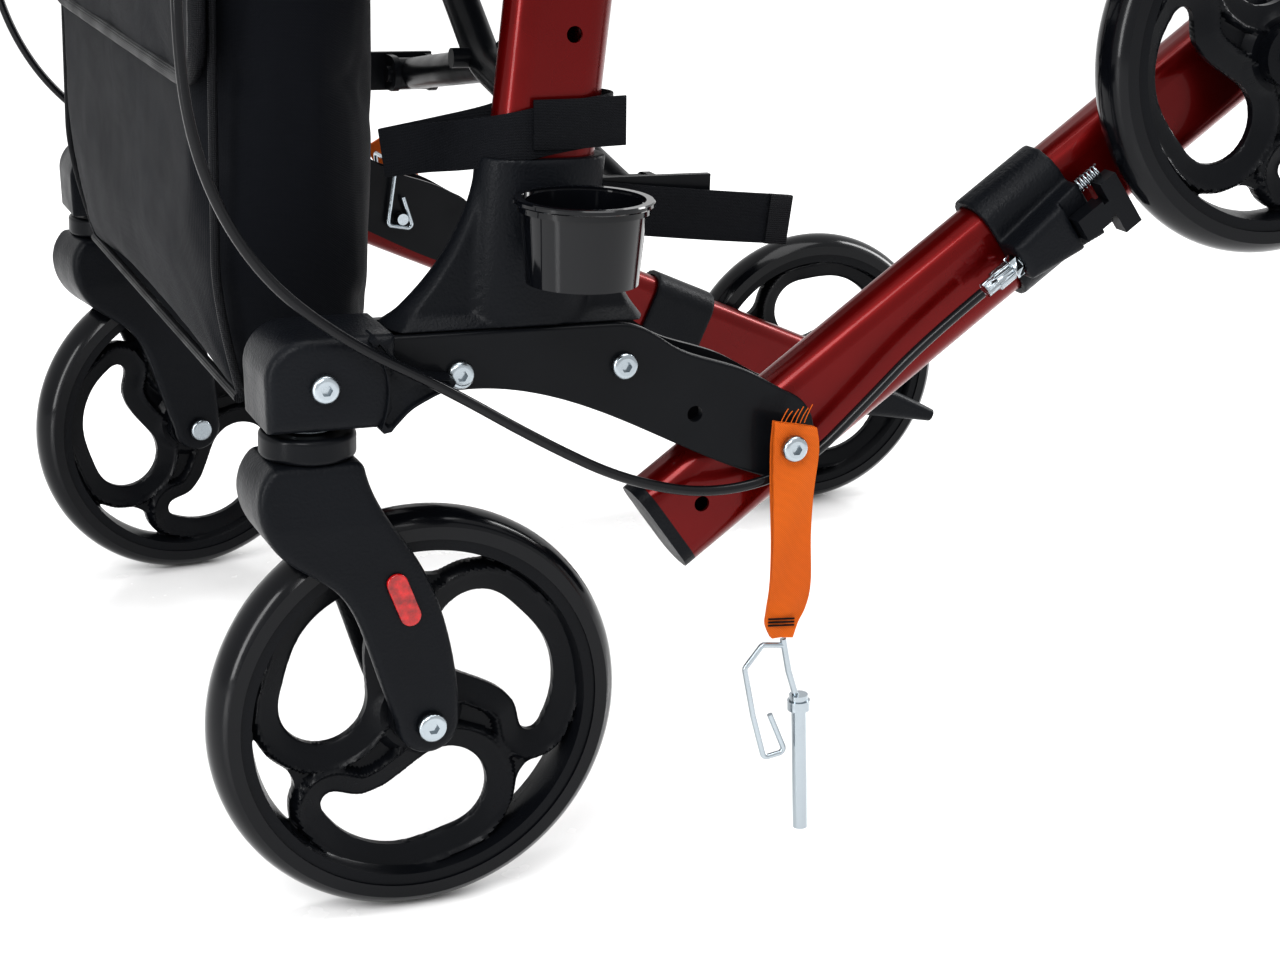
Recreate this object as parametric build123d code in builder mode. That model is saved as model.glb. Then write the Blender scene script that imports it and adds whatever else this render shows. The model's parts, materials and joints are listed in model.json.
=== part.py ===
"""Folding four-wheeled walking frame (rollator) with cane cup, bag and cable brakes.

Millimetres, +Z up, -Y forwards, +X the user's left. Everything is drawn with the caster stems
at Y = 0 and the floor at Z = 0, and is moved by frame_shift when it is written.
Left-hand pieces are drawn; right-hand pieces are their mirror images in the plane X = 0.
"""

import os
from math import cos, radians, sin, tan

from build123d import *

# ---------------------------------------------------------------- driving dimensions
running = 0.05  # radial clearance of a shaft that turns in a bore
loose = 0.3  # gap between pieces that lie beside each other
frame_shift = Location((-14.75, -276.14, 0))  # puts the origin below the middle of the whole object

# wheels
wheel_radius = 100.0
tyre_depth = 13.0
tyre_width = 27.0
rim_width = 25.0
web_thickness = 7.0
lip_thickness = 14.0
lip_width = 4.0
hub_radius = 15.0
hub_width = 31.0
axle_radius = 4.0
axle_head_radius = 7.0

# casters
stem_x = 252.0
caster_trail = 51.3
fork_gap = 34.0
fork_arm = 9.0
fork_top = 229.0
fork_eye_radius = 15.0
cap_height = 12.0
cap_radius = 22.0
stem_radius = 6.0
stem_top = 258.0
housing_bottom = 244.5
housing_top = 287.0
left_swivel = 0.8
right_swivel = 9.0

# side frames
leg_plane_x = 243.0
leg_width = 27.0
plate_gap = 29.0
plate_thickness = 5.0
plate_top = 283.0
bolt_radius = 4.0
bolt_head_radius = 6.5
bolt_head_height = 4.0
front_bolt = (68.0, 264.0)
middle_bolt = (148.0, 263.0)

# folding rear legs
pivot_y, pivot_z = 231.0, 220.5
leg_raised = 36.5
leg_lowered = -22.87
leg_height = 50.0
leg_wall = 2.0
leg_drop = 3.0
leg_front = -66.0
leg_rear = 322.0
axle_along_leg = 310.0
wheel_offset = 38.0
lock_hole = (-48.5, -2.7)
lock_pin_radius = 3.7

# brake on the rear leg
sleeve_start, sleeve_end = 146.0, 192.0
sleeve_wall = 4.0
adjuster_along = sleeve_start + 14.0
adjuster_reach = 36.4
brake_pivot_along = 186.0
brake_room = 0.8

# uprights and handles
upright_lean = 5.3
upright_y, upright_z = 113.5, 380.0
upright_depth = 50.0
upright_width = 26.0
upright_wall = 1.6
upright_bottom, upright_top = -86.0, 258.0
handle_radius = 11.0
handle_start, handle_bend = 150.0, 470.0
handle_reach = 175.0
handle_bend_radius = 48.0
grip_radius = 16.5
grip_length = 118.0
accessory_hole = 35.0

# tower that holds the upright
tower_top = 360.0
collar_wall = 4.5

# cup
cup_x, cup_y = 301.0, 111.0
cup_top, cup_bottom = 349.0, 313.0
cup_top_radius, cup_bottom_radius = 29.5, 25.0
cup_wall = 2.5

# scissor brace and seat
brace_pivot_x, brace_pivot_z = 208.0, 332.0
brace_hub_z = 368.0
rail_x, rail_z = 205.0, 508.0
rail_radius = 12.5
brace_pin_radius = 5.0
ear_thickness = 4.0
brace_radius = 10.0
front_brace_y, rear_brace_y = 166.0, 189.0
rail_start, rail_end = 128.0, 372.0
seat_thickness = 4.0

# bag
bag_half = 203.0
bag_front, bag_rear = -31.0, 50.0
bag_bottom, bag_top = 237.0, 470.0
bag_wall = 3.0

# pull strap and lock pin
strap_width, strap_thickness = 21.0, 3.0
strap_x = 273.0
strap_bottom = 122.0
pin_length = 56.0

os.makedirs("parts", exist_ok=True)


# ---------------------------------------------------------------- helpers
def save(piece, name):
    """Writes one finished piece in the part's own frame."""
    placed = piece.moved(frame_shift)
    placed.label = name
    export_step(placed, f"parts/{name}.step")


def sides(piece):
    """Gives a left-hand piece and its right-hand mirror image, each with its side's name."""
    return [("left", piece), ("right", piece.mirror(Plane.YZ))]


def side_plane(x):
    """A vertical fore-and-aft plane whose own x is Y and whose own y is Z."""
    return Plane.YZ.offset(x)


def upright_point(along, sideways=0.0):
    """A point on the upright's axis, measured upwards from its middle mark."""
    lean = radians(upright_lean)
    return Vector(leg_plane_x + sideways, upright_y + along * sin(lean), upright_z + along * cos(lean))


def upright_plane(along):
    """A plane square to the upright, whose own x is X."""
    lean = radians(upright_lean)
    return Plane(origin=upright_point(along), x_dir=(1, 0, 0), z_dir=(0, sin(lean), cos(lean)))


def leg_point(along, up, angle):
    """Y and Z of a point given along and above the leg's axis, with the leg at an angle."""
    turn = radians(angle)
    return (
        pivot_y + along * cos(turn) - up * sin(turn),
        pivot_z + along * sin(turn) + up * cos(turn),
    )


def leg_turn(piece, angle):
    """Turns a piece drawn along a level leg to the leg's angle about its pivot."""
    return piece.rotate(Axis((0, pivot_y, pivot_z), (1, 0, 0)), angle)


def bolt(y, z, inner, outer, head_radius=bolt_head_radius):
    """A button-head bolt along X, its head outboard, with a socket in the head."""
    with BuildPart() as made:
        with BuildSketch(side_plane(inner)):
            with Locations((y, z)):
                Circle(bolt_radius)
        extrude(amount=outer - inner)
        with BuildSketch(side_plane(outer)):
            with Locations((y, z)):
                Circle(head_radius)
        extrude(amount=bolt_head_height)
        fillet(made.edges().filter_by(GeomType.CIRCLE).sort_by(Axis.X)[-1], bolt_head_height * 0.6)
        with BuildSketch(side_plane(outer + bolt_head_height)):
            with Locations((y, z)):
                RegularPolygon(head_radius * 0.42, 6)
        extrude(amount=-bolt_head_height * 0.6, mode=Mode.SUBTRACT)
    return made.part


# ---------------------------------------------------------------- wheels
def web_opening(grow):
    """One swept bean-shaped opening of the web, grown all round by the given amount."""
    for centre, radius in (((45, 14), 21.5), ((51, -8), 16.5), ((43, -40), 6.0)):
        with Locations(centre):
            Circle(radius + grow)
    make_hull()


def rim():
    """One-piece moulded wheel centre: barrel, web with three swept openings, and hub."""
    seat_radius = wheel_radius - tyre_depth
    with BuildPart() as made:
        with BuildSketch(Plane.XY):
            Circle(seat_radius - 6)
        extrude(amount=web_thickness / 2, both=True)
        with BuildSketch(Plane.XY):
            Circle(seat_radius)
            Circle(seat_radius - 8, mode=Mode.SUBTRACT)
        extrude(amount=rim_width / 2, both=True)
        with BuildSketch(Plane.XY):
            Circle(hub_radius + 7)
        extrude(amount=lip_thickness / 2, both=True, taper=12)
        with BuildSketch(Plane.XY):
            Circle(hub_radius)
        extrude(amount=hub_width / 2, both=True)
        for turn in (0, 120, 240):
            with BuildSketch(Plane.XY.rotated((0, 0, turn))):
                web_opening(lip_width)
            extrude(amount=lip_thickness / 2, both=True)
        for turn in (0, 120, 240):
            with BuildSketch(Plane.XY.rotated((0, 0, turn))):
                web_opening(0)
            extrude(amount=lip_thickness, both=True, mode=Mode.SUBTRACT)
            with BuildSketch(Plane.XY.rotated((0, 0, turn + 53))):
                with BuildLine():
                    Polyline((80, -6), (79.5, 5), (73, 1), close=True)
                make_face()
            extrude(amount=lip_thickness, both=True, mode=Mode.SUBTRACT)
            with BuildSketch(Plane.XY.rotated((0, 0, turn + 180))):
                with Locations((25, 0)):
                    Circle(1.8)
            extrude(amount=lip_thickness, both=True, mode=Mode.SUBTRACT)
        with BuildSketch(Plane.XY):
            Circle(axle_radius + running)
        extrude(amount=hub_width, both=True, mode=Mode.SUBTRACT)
    return made.part


def tyre():
    """Solid tyre with a rounded tread, seated on the wheel centre."""
    inner = wheel_radius - tyre_depth
    half = tyre_width / 2
    with BuildPart() as made:
        with BuildSketch(Plane.XZ):
            with BuildLine():
                Polyline((inner, -half), (inner, half))
                Line((inner, half), (wheel_radius - 7, half))
                Line((inner, -half), (wheel_radius - 7, -half))
                ThreePointArc((wheel_radius - 7, half), (wheel_radius, 0), (wheel_radius - 7, -half))
            make_face()
        revolve(axis=Axis.Z)
    return made.part


def wheel_at(piece, x, y, z, spin):
    """Stands a wheel piece drawn flat on its axle, turned by the given spin."""
    upright = piece.rotate(Axis.Z, spin).rotate(Axis.Y, 90)
    return upright.moved(Location((x, y, z)))


wheel_centre = rim()
wheel_tyre = tyre()


# ---------------------------------------------------------------- caster
def caster_fork():
    """Moulded fork, drawn with its stem on the Z axis and the wheel trailing towards +Y."""
    eye_z = wheel_radius
    eye_y = caster_trail
    half = fork_gap / 2 + fork_arm
    with BuildPart() as made:
        with BuildSketch(side_plane(0)):
            with BuildLine():
                front = Spline(
                    (-21, fork_top), (-28, 214), (-20, 190), (8, 168), (22, 140), (eye_y - fork_eye_radius, eye_z)
                )
                ThreePointArc(front @ 1, (eye_y, eye_z - fork_eye_radius), (eye_y + fork_eye_radius, eye_z))
                rear = Spline((eye_y + fork_eye_radius, eye_z), (60, 145), (45, 182), (29, 206), (21, fork_top))
                Line(rear @ 1, front @ 0)
            make_face()
        extrude(amount=half, both=True)
        with BuildSketch(Plane.XZ.offset(-120)):
            with BuildLine():
                Polyline(
                    (-21, fork_top), (21, fork_top), (half - 1, 200), (half, 150), (half - 2, 60),
                    (-half + 2, 60), (-half, 150), (-half + 1, 200), close=True,
                )
            make_face()
        extrude(amount=200, mode=Mode.INTERSECT)
        fillet(made.edges().filter_by(lambda e: e.length > 12), 4.0)
        with BuildSketch(side_plane(0)):
            with Locations((eye_y, eye_z)):
                Circle(wheel_radius + 5)
        extrude(amount=fork_gap / 2, both=True, mode=Mode.SUBTRACT)
        with BuildSketch(side_plane(0)):
            with Locations((eye_y, eye_z)):
                Circle(axle_radius)
        extrude(amount=half + 5, both=True, mode=Mode.SUBTRACT)
        with BuildSketch(Plane.XY.offset(fork_top)):
            Circle(stem_radius)
        extrude(amount=-14, mode=Mode.SUBTRACT)
    return made.part


def caster_stem():
    """Steel stem with its washer and dust cap, above the fork."""
    with BuildPart() as made:
        with BuildSketch(Plane.XY.offset(fork_top - 14)):
            Circle(stem_radius)
        extrude(amount=stem_top - fork_top + 14)
        with BuildSketch(Plane.XY.offset(fork_top)):
            Circle(cap_radius)
        extrude(amount=cap_height)
        fillet(made.edges().filter_by(GeomType.CIRCLE).filter_by(lambda e: e.radius > 20), 2.5)
        with BuildSketch(Plane.XY.offset(fork_top + cap_height)):
            Circle(9)
        extrude(amount=housing_bottom - fork_top - cap_height - loose)
    return made.part


def axle(length):
    """Wheel bolt along X about the origin, with a domed head at each end."""
    with BuildPart() as made:
        with BuildSketch(side_plane(0)):
            Circle(axle_radius - running / 2)
        extrude(amount=length / 2, both=True)
        for end in (1, -1):
            with BuildSketch(side_plane(end * length / 2)):
                Circle(axle_head_radius)
            extrude(amount=end * 3.5)
        fillet(made.edges().filter_by(GeomType.CIRCLE).sort_by(Axis.X)[-1], 2.0)
        fillet(made.edges().filter_by(GeomType.CIRCLE).sort_by(Axis.X)[0], 2.0)
        with BuildSketch(side_plane(length / 2 + 3.5)):
            RegularPolygon(2.8, 6)
        extrude(amount=-2.0, mode=Mode.SUBTRACT)
    return made.part


def reflector():
    """Oval reflector lens on the fork's outer arm."""
    half = fork_gap / 2 + fork_arm
    place = Plane(origin=(half, 37.5, 164), x_dir=(0, cos(radians(-68)), sin(radians(-68))), z_dir=(1, 0, 0))
    with BuildPart() as made:
        with BuildSketch(place):
            SlotOverall(27, 10)
        extrude(amount=1.6)
        fillet(made.faces().sort_by(Axis.X)[-1].edges(), 0.8)
    return made.part


def caster_piece(piece, side, swivel):
    """Puts a caster piece on its stem, swivelled; the outboard face stays outboard."""
    turned = piece if side == "left" else piece.mirror(Plane.YZ)
    place = stem_x if side == "left" else -stem_x
    return turned.rotate(Axis.Z, swivel).moved(Location((place, 0, 0)))


caster_pieces = (
    ("caster_fork", caster_fork()),
    ("caster_stem", caster_stem()),
    ("fork_reflector", reflector()),
)
for side, swivel, spin in (("left", left_swivel, 0), ("right", right_swivel, 35)):
    for name, piece in caster_pieces:
        save(caster_piece(piece, side, swivel), f"{side}_{name}")
    for name, piece in (("front_rim", wheel_centre), ("front_tyre", wheel_tyre)):
        rolled = wheel_at(piece, 0, caster_trail, wheel_radius, spin)
        save(caster_piece(rolled, side, swivel), f"{side}_{name}")
    pin = axle(fork_gap + 2 * fork_arm + 1).moved(Location((0, caster_trail, wheel_radius)))
    save(caster_piece(pin, side, swivel), f"{side}_front_axle")


# ---------------------------------------------------------------- side frame
plate_inner_x = leg_plane_x - plate_gap / 2
plate_outer_x = leg_plane_x + plate_gap / 2
outer_face = plate_outer_x + plate_thickness
inner_face = plate_inner_x - plate_thickness

with BuildPart() as side_plates:
    for start in (inner_face, plate_outer_x):
        with BuildSketch(side_plane(start)):
            with BuildLine():
                top = Line((36, plate_top), (143, plate_top))
                Spline(top @ 1, (176, 269), (212, 256), (234, 244), tangents=[(1, 0), (1, -0.5)])
                ThreePointArc((234, 244), (247, 232), (246, 212))
                Line((246, 212), (228, 201))
                Spline((228, 201), (190, 216), (113, 250), (66, 256), (36, 248))
                Line((36, 248), (36, plate_top))
            make_face()
            with Locations(front_bolt, middle_bolt, (pivot_y, pivot_z)):
                Circle(bolt_radius, mode=Mode.SUBTRACT)
            with Locations(leg_point(*lock_hole, leg_lowered)):
                Circle(lock_pin_radius + 0.2, mode=Mode.SUBTRACT)
        extrude(amount=plate_thickness)
    outer_rims = side_plates.faces().filter_by(Axis.X).sort_by(Axis.X)[-1].outer_wire().edges()
    fillet(outer_rims, 1.4)

with BuildPart() as caster_housing:
    with BuildSketch(side_plane(plate_inner_x + 0.5)):
        with BuildLine():
            Line((-23, housing_bottom), (31, housing_bottom))
            Line((31, housing_bottom), (35, 252))
            Line((35, 252), (35, housing_top))
            Line((35, housing_top), (-5, housing_top))
            ThreePointArc((-5, housing_top), (-18, 282), (-24, 268))
            Line((-24, 268), (-23, housing_bottom))
        make_face()
    extrude(amount=stem_x + 23 - plate_inner_x - 0.5)
    fillet(caster_housing.faces().sort_by(Axis.X)[-1].edges(), 5)
    with BuildSketch(Plane.XY.offset(housing_bottom)):
        with Locations((stem_x, 0)):
            Circle(stem_radius + running)
    extrude(amount=stem_top + 1 - housing_bottom, mode=Mode.SUBTRACT)
    with BuildSketch(side_plane(plate_inner_x + 0.5)):
        with Locations((52, 266)):
            Rectangle(46, 20)
    extrude(amount=plate_gap - 1)
    with BuildSketch(side_plane(plate_inner_x)):
        with Locations(front_bolt):
            Circle(bolt_radius)
    extrude(amount=plate_gap, mode=Mode.SUBTRACT)
    with BuildSketch(side_plane(stem_x + 23)):
        with Locations((2, 265)):
            Circle(bolt_radius)
    extrude(amount=-12, mode=Mode.SUBTRACT)
    with BuildSketch(side_plane(stem_x + 5)):
        with BuildLine():
            Line((24, 284), (21, 247))
            ThreePointArc((21, 247), (36, 257), (57, 257))
            Line((57, 257), (59, 262))
            ThreePointArc((59, 262), (36, 268), (24, 284))
        make_face()
    extrude(amount=outer_face + 6 - stem_x - 5)
    with BuildSketch(side_plane(plate_outer_x)):
        with Locations((56, 266)):
            Rectangle(42, 40)
    extrude(amount=plate_thickness, mode=Mode.SUBTRACT)

with BuildPart() as tower:
    with BuildSketch(Plane.XY.offset(plate_top)):
        with Locations((leg_plane_x, 103)):
            RectangleRounded(plate_gap + 2 * plate_thickness, 116, 12)
    with BuildSketch(upright_plane(-20)):
        RectangleRounded(upright_width + 2 * collar_wall, upright_depth + 2 * collar_wall, 16)
    loft()
    with BuildSketch(upright_plane(-20)):
        RectangleRounded(upright_width + 2 * collar_wall, upright_depth + 2 * collar_wall, 16)
    extrude(amount=(tower_top - upright_z) + 20 + 1)
    with BuildSketch(side_plane(plate_inner_x + 0.5)):
        with BuildLine():
            Polyline((78, 284), (78, 256), (158, 256), (158, 284), close=True)
        make_face()
    extrude(amount=plate_gap - 1)
    with BuildSketch(side_plane(plate_inner_x)):
        with Locations(middle_bolt):
            Circle(bolt_radius)
    extrude(amount=plate_gap, mode=Mode.SUBTRACT)
    with BuildSketch(upright_plane(upright_bottom)):
        SlotOverall(upright_depth, upright_width, rotation=90)
    extrude(amount=200, mode=Mode.SUBTRACT)

with BuildPart() as upright:
    with BuildSketch(upright_plane(upright_bottom)):
        SlotOverall(upright_depth, upright_width, rotation=90)
        SlotOverall(upright_depth - 2 * upright_wall, upright_width - 2 * upright_wall, rotation=90, mode=Mode.SUBTRACT)
    extrude(amount=upright_top - upright_bottom)
    hole_centre = upright_point(accessory_hole)
    with BuildSketch(side_plane(leg_plane_x - 20)):
        with Locations((hole_centre.Y + 5, hole_centre.Z)):
            Circle(3.75)
    extrude(amount=40, mode=Mode.SUBTRACT)

with BuildPart() as height_clamp:
    with BuildSketch(upright_plane(upright_top)):
        SlotOverall(upright_depth + 6, upright_width + 6, rotation=90)
        Circle(handle_radius + running, mode=Mode.SUBTRACT)
    extrude(amount=14)
    with BuildSketch(upright_plane(upright_top - 26)):
        SlotOverall(upright_depth + 6, upright_width + 6, rotation=90)
        SlotOverall(upright_depth, upright_width, rotation=90, mode=Mode.SUBTRACT)
    extrude(amount=26)

with BuildPart() as height_knob:
    knob_centre = upright_point(upright_top - 13)
    with BuildSketch(side_plane(leg_plane_x + upright_width / 2 + 3)):
        with Locations((knob_centre.Y, knob_centre.Z)):
            Circle(6)
    extrude(amount=8)
    with BuildSketch(side_plane(leg_plane_x + upright_width / 2 + 11)):
        with Locations((knob_centre.Y, knob_centre.Z)):
            RegularPolygon(19, 5)
    extrude(amount=13)
    fillet(height_knob.edges().filter_by(Axis.X), 6)
    fillet(height_knob.faces().sort_by(Axis.X)[-1].edges(), 2.5)



def brace_bracket(brace_y):
    """Bracket on the socket's inner face, its pivot pin, and the saddle under the seat rail."""
    base_x = leg_plane_x - plate_gap / 2 - plate_thickness + 0.7
    ear_gap = 2 * brace_radius + 1.0
    with BuildPart() as made:
        with BuildSketch(side_plane(base_x - 4)):
            with Locations(((122 + rear_brace_y + 16) / 2, brace_pivot_z)):
                Rectangle(rear_brace_y + 16 - 122, 24)
        extrude(amount=4)
        for start in (brace_y - ear_gap / 2 - ear_thickness, brace_y + ear_gap / 2):
            with BuildSketch(Plane.XZ.offset(-start - ear_thickness)):
                with Locations(((brace_pivot_x + base_x) / 2, brace_pivot_z)):
                    Rectangle(base_x - brace_pivot_x, 22)
                with Locations((brace_pivot_x, brace_pivot_z)):
                    Circle(11)
            extrude(amount=ear_thickness)
        with BuildSketch(Plane.XZ.offset(-brace_y - ear_gap / 2 - ear_thickness - 3)):
            with Locations((brace_pivot_x, brace_pivot_z)):
                Circle(brace_pin_radius)
        extrude(amount=ear_gap + 2 * ear_thickness + 6)
        saddle_y = upright_point((rail_z - upright_z) / cos(radians(upright_lean))).Y
        upright_side = leg_plane_x - upright_width / 2 - 0.2
        with BuildSketch(Plane.XZ.offset(-saddle_y - 12)):
            with BuildLine():
                Polyline(
                    (upright_side, rail_z - 24), (upright_side, rail_z + 16), (upright_side - 5, rail_z + 16),
                    (upright_side - 8, rail_z - rail_radius - 1), (rail_x - 6, rail_z - rail_radius - 1),
                    (rail_x - 6, rail_z - rail_radius - 7), close=True,
                )
            make_face()
        extrude(amount=24)
    return made.part


bolts = (
    bolt(*front_bolt, inner_face, outer_face)
    + bolt(*middle_bolt, inner_face, outer_face)
    + bolt(pivot_y, pivot_z, inner_face, strap_x + strap_thickness + 1.0)
    + bolt(2, 265, stem_x + 12, stem_x + 23)
)

for name, piece in (
    ("side_plates", side_plates.part),
    ("caster_housing", caster_housing.part),
    ("upright_socket", tower.part),
    ("upright", upright.part),
    ("height_clamp", height_clamp.part + height_knob.part),
    ("frame_bolts", bolts),
):
    for side, copy in sides(piece):
        save(copy, f"{side}_{name}")


# ---------------------------------------------------------------- rear leg, drawn level
leg_centre_z = pivot_z - leg_drop


def leg_section(x_grow=0.0, mode=Mode.ADD):
    """The leg's oval section in a plane square to the level leg."""
    RectangleRounded(leg_width + x_grow, leg_height + x_grow, (leg_width + x_grow) / 2 - 2.5, mode=mode)


def leg_cross_plane(along):
    """A plane square to the level leg, whose own x is X and own y is Z."""
    return Plane(origin=(leg_plane_x, pivot_y + along, leg_centre_z), x_dir=(-1, 0, 0), z_dir=(0, 1, 0))


with BuildPart() as leg:
    with BuildSketch(leg_cross_plane(leg_front)):
        leg_section()
        leg_section(-2 * leg_wall, Mode.SUBTRACT)
    extrude(amount=leg_rear - leg_front)
    with BuildSketch(side_plane(leg_plane_x - 20)):
        with Locations((pivot_y, pivot_z)):
            Circle(bolt_radius + running)
        with Locations((pivot_y + lock_hole[0], pivot_z + lock_hole[1])):
            Circle(lock_pin_radius + 0.15)
        with Locations((pivot_y + axle_along_leg, pivot_z)):
            Circle(axle_radius)
    extrude(amount=40, mode=Mode.SUBTRACT)

with BuildPart() as leg_caps:
    with BuildSketch(leg_cross_plane(leg_front)):
        leg_section()
    extrude(amount=-6)
    with BuildSketch(leg_cross_plane(leg_front)):
        leg_section(-2 * leg_wall)
    extrude(amount=9)
    with BuildSketch(leg_cross_plane(leg_rear)):
        leg_section()
    extrude(amount=9)
    with BuildSketch(leg_cross_plane(leg_rear + 9)):
        RectangleRounded(24, 30, 8)
    with BuildSketch(leg_cross_plane(leg_rear + 74)):
        with Locations((0, 6)):
            RectangleRounded(22, 9, 4)
    loft()
    with BuildSketch(leg_cross_plane(leg_rear)):
        leg_section(-2 * leg_wall)
    extrude(amount=-4)

with BuildPart() as brake_sleeve:
    with BuildSketch(leg_cross_plane(sleeve_start)):
        leg_section(2 * sleeve_wall)
        leg_section(0.0, Mode.SUBTRACT)
    extrude(amount=sleeve_end - sleeve_start)
    with BuildSketch(side_plane(leg_plane_x + leg_width / 2 + sleeve_wall - 1)):
        with BuildLine():
            Polyline(
                (pivot_y + sleeve_start, leg_centre_z - 12), (pivot_y + sleeve_start, leg_centre_z + 8),
                (pivot_y + sleeve_end, leg_centre_z + 12), (pivot_y + sleeve_end, leg_centre_z - 20), close=True,
            )
        make_face()
    extrude(amount=17)
    fillet(brake_sleeve.faces().sort_by(Axis.X)[-1].edges(), 4)
    with BuildSketch(leg_cross_plane(sleeve_start - 1)):
        with Locations((-(leg_width / 2 + sleeve_wall + 9), -2)):
            Circle(3.6)
    extrude(amount=16, mode=Mode.SUBTRACT)
    with BuildSketch(Plane(origin=(0, pivot_y + brake_pivot_along, leg_centre_z - 4), x_dir=(1, 0, 0), z_dir=(0, 0, 1))):
        with Locations((wheel_offset + leg_plane_x - 4, 4 - brake_room / 2)):
            Rectangle(11, 24 + brake_room)
    extrude(amount=60, both=True, mode=Mode.SUBTRACT)

adjuster_x = leg_plane_x + leg_width / 2 + sleeve_wall + 9
adjuster_z = leg_centre_z - 2
with BuildPart() as cable_adjuster:
    adjuster_seat = (adjuster_x, pivot_y + adjuster_along, adjuster_z)
    adjuster_plane = Plane(origin=adjuster_seat, x_dir=(1, 0, 0), z_dir=(0, -1, 0))
    with BuildSketch(adjuster_plane):
        Circle(3.5)
    extrude(amount=30)
    with BuildSketch(adjuster_plane.offset(15)):
        RegularPolygon(6.0, 6)
    extrude(amount=4)
    with BuildSketch(adjuster_plane.offset(20)):
        Circle(5.2)
    extrude(amount=9)
    with BuildSketch(adjuster_plane.offset(29)):
        Circle(3.9)
    extrude(amount=7)

with BuildPart() as brake_block:
    with BuildSketch(side_plane(wheel_offset + leg_plane_x - 8.8)):
        with Locations((pivot_y + brake_pivot_along, leg_centre_z - 5)):
            Rectangle(16, 12)
        with Locations((pivot_y + axle_along_leg - wheel_radius - 8, leg_centre_z - 6)):
            Rectangle(10, 30)
        with Locations((pivot_y + brake_pivot_along + 8, leg_centre_z - 5)):
            Rectangle(14, 8)
    extrude(amount=9.6)

leg_axle_length = leg_width + 2 * 2 + wheel_offset + hub_width / 2 + 2
rear_axle = axle(leg_axle_length - leg_width / 2 + 14).moved(
    Location((leg_plane_x + wheel_offset + hub_width / 2 - (leg_axle_length - leg_width / 2 + 14) / 2 + 1, 0, 0))
)

for side, angle, spin in (("left", leg_raised, 20), ("right", leg_lowered, 75)):
    mirrored = side == "right"
    level = [
        ("rear_leg", leg.part),
        ("leg_end_caps", leg_caps.part),
        ("brake_sleeve", brake_sleeve.part + cable_adjuster.part),
        ("brake_block", brake_block.part),
        ("rear_axle", rear_axle.moved(Location((0, pivot_y + axle_along_leg, pivot_z)))),
    ]
    for name, piece in (("rear_rim", wheel_centre), ("rear_tyre", wheel_tyre)):
        rolled = wheel_at(piece, leg_plane_x + wheel_offset, pivot_y + axle_along_leg, pivot_z, spin)
        level.append((name, rolled))
    for name, piece in level:
        placed = leg_turn(piece, angle)
        save(placed.mirror(Plane.YZ) if mirrored else placed, f"{side}_{name}")

save(brace_bracket(front_brace_y), "left_brace_bracket")
save(brace_bracket(rear_brace_y).mirror(Plane.YZ), "right_brace_bracket")


# ---------------------------------------------------------------- handles
bend = upright_point(handle_bend)
grip_rise = 4.6
grip_way = Vector(0, cos(radians(grip_rise)), sin(radians(grip_rise)))


def handle_plane(along, drop=0.0, sideways=0.0):
    """A plane square to the handle's rear run, measured from its bend; own x is X."""
    origin = bend + grip_way * along + Vector(sideways, drop * sin(radians(grip_rise)), -drop * cos(radians(grip_rise)))
    return Plane(origin=origin, x_dir=(1, 0, 0), z_dir=grip_way)


with BuildPart() as handle_tube:
    with BuildLine() as handle_line:
        FilletPolyline(
            upright_point(handle_start), bend, bend + grip_way * handle_reach, radius=handle_bend_radius
        )
    with BuildSketch(upright_plane(handle_start)):
        Circle(handle_radius)
    sweep(path=handle_line.line)

with BuildPart() as grip:
    with BuildSketch(handle_plane(handle_reach - grip_length + 3)):
        Circle(grip_radius)
    extrude(amount=grip_length)
    fillet(grip.edges().filter_by(GeomType.CIRCLE), 5)
    with BuildSketch(handle_plane(handle_reach - grip_length)):
        Circle(handle_radius + running)
    extrude(amount=grip_length + 0.1, mode=Mode.SUBTRACT)

lever_along, lever_drop = 48.0, 26.0
lever_pin_radius = 3.0
housing_start, housing_length = 41.0, 15.0
with BuildPart() as lever_housing:
    with BuildSketch(handle_plane(housing_start)):
        Circle(handle_radius + 4)
        with Locations((0, 16)):
            RectangleRounded(18, 36, 3)
        with Locations((handle_radius + 6, 4)):
            Circle(5.5)
    extrude(amount=housing_length)
    with BuildSketch(handle_plane(housing_start - 1)):
        Circle(handle_radius + running)
        with Locations((0, 29)):
            Rectangle(8.6, 22)
    extrude(amount=housing_length + 2, mode=Mode.SUBTRACT)
    lever_pin = handle_plane(lever_along, lever_drop).origin
    with BuildSketch(side_plane(leg_plane_x - 10)):
        with Locations((lever_pin.Y, lever_pin.Z)):
            Circle(lever_pin_radius)
    extrude(amount=20)

with BuildPart() as brake_lever:
    lever_points = [handle_plane(a, d).origin for a, d in ((lever_along, lever_drop), (78, 48), (118, 58), (168, 60))]
    with BuildLine() as lever_line:
        Spline(*lever_points)
    start_way = lever_line.line % 0
    with BuildSketch(Plane(origin=lever_points[0], x_dir=(1, 0, 0), z_dir=start_way)):
        RectangleRounded(8, 9, 2.5)
    sweep(path=lever_line.line)
    with BuildSketch(side_plane(leg_plane_x - 4)):
        with Locations((lever_pin.Y, lever_pin.Z)):
            Circle(6.5)
    extrude(amount=8)
    with BuildSketch(side_plane(leg_plane_x - 10)):
        with Locations((lever_pin.Y, lever_pin.Z)):
            Circle(lever_pin_radius + running)
    extrude(amount=20, mode=Mode.SUBTRACT)

for name, piece in (
    ("handle_tube", handle_tube.part),
    ("hand_grip", grip.part),
    ("lever_housing", lever_housing.part),
    ("brake_lever", brake_lever.part),
):
    for side, copy in sides(piece):
        save(copy, f"{side}_{name}")


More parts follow.
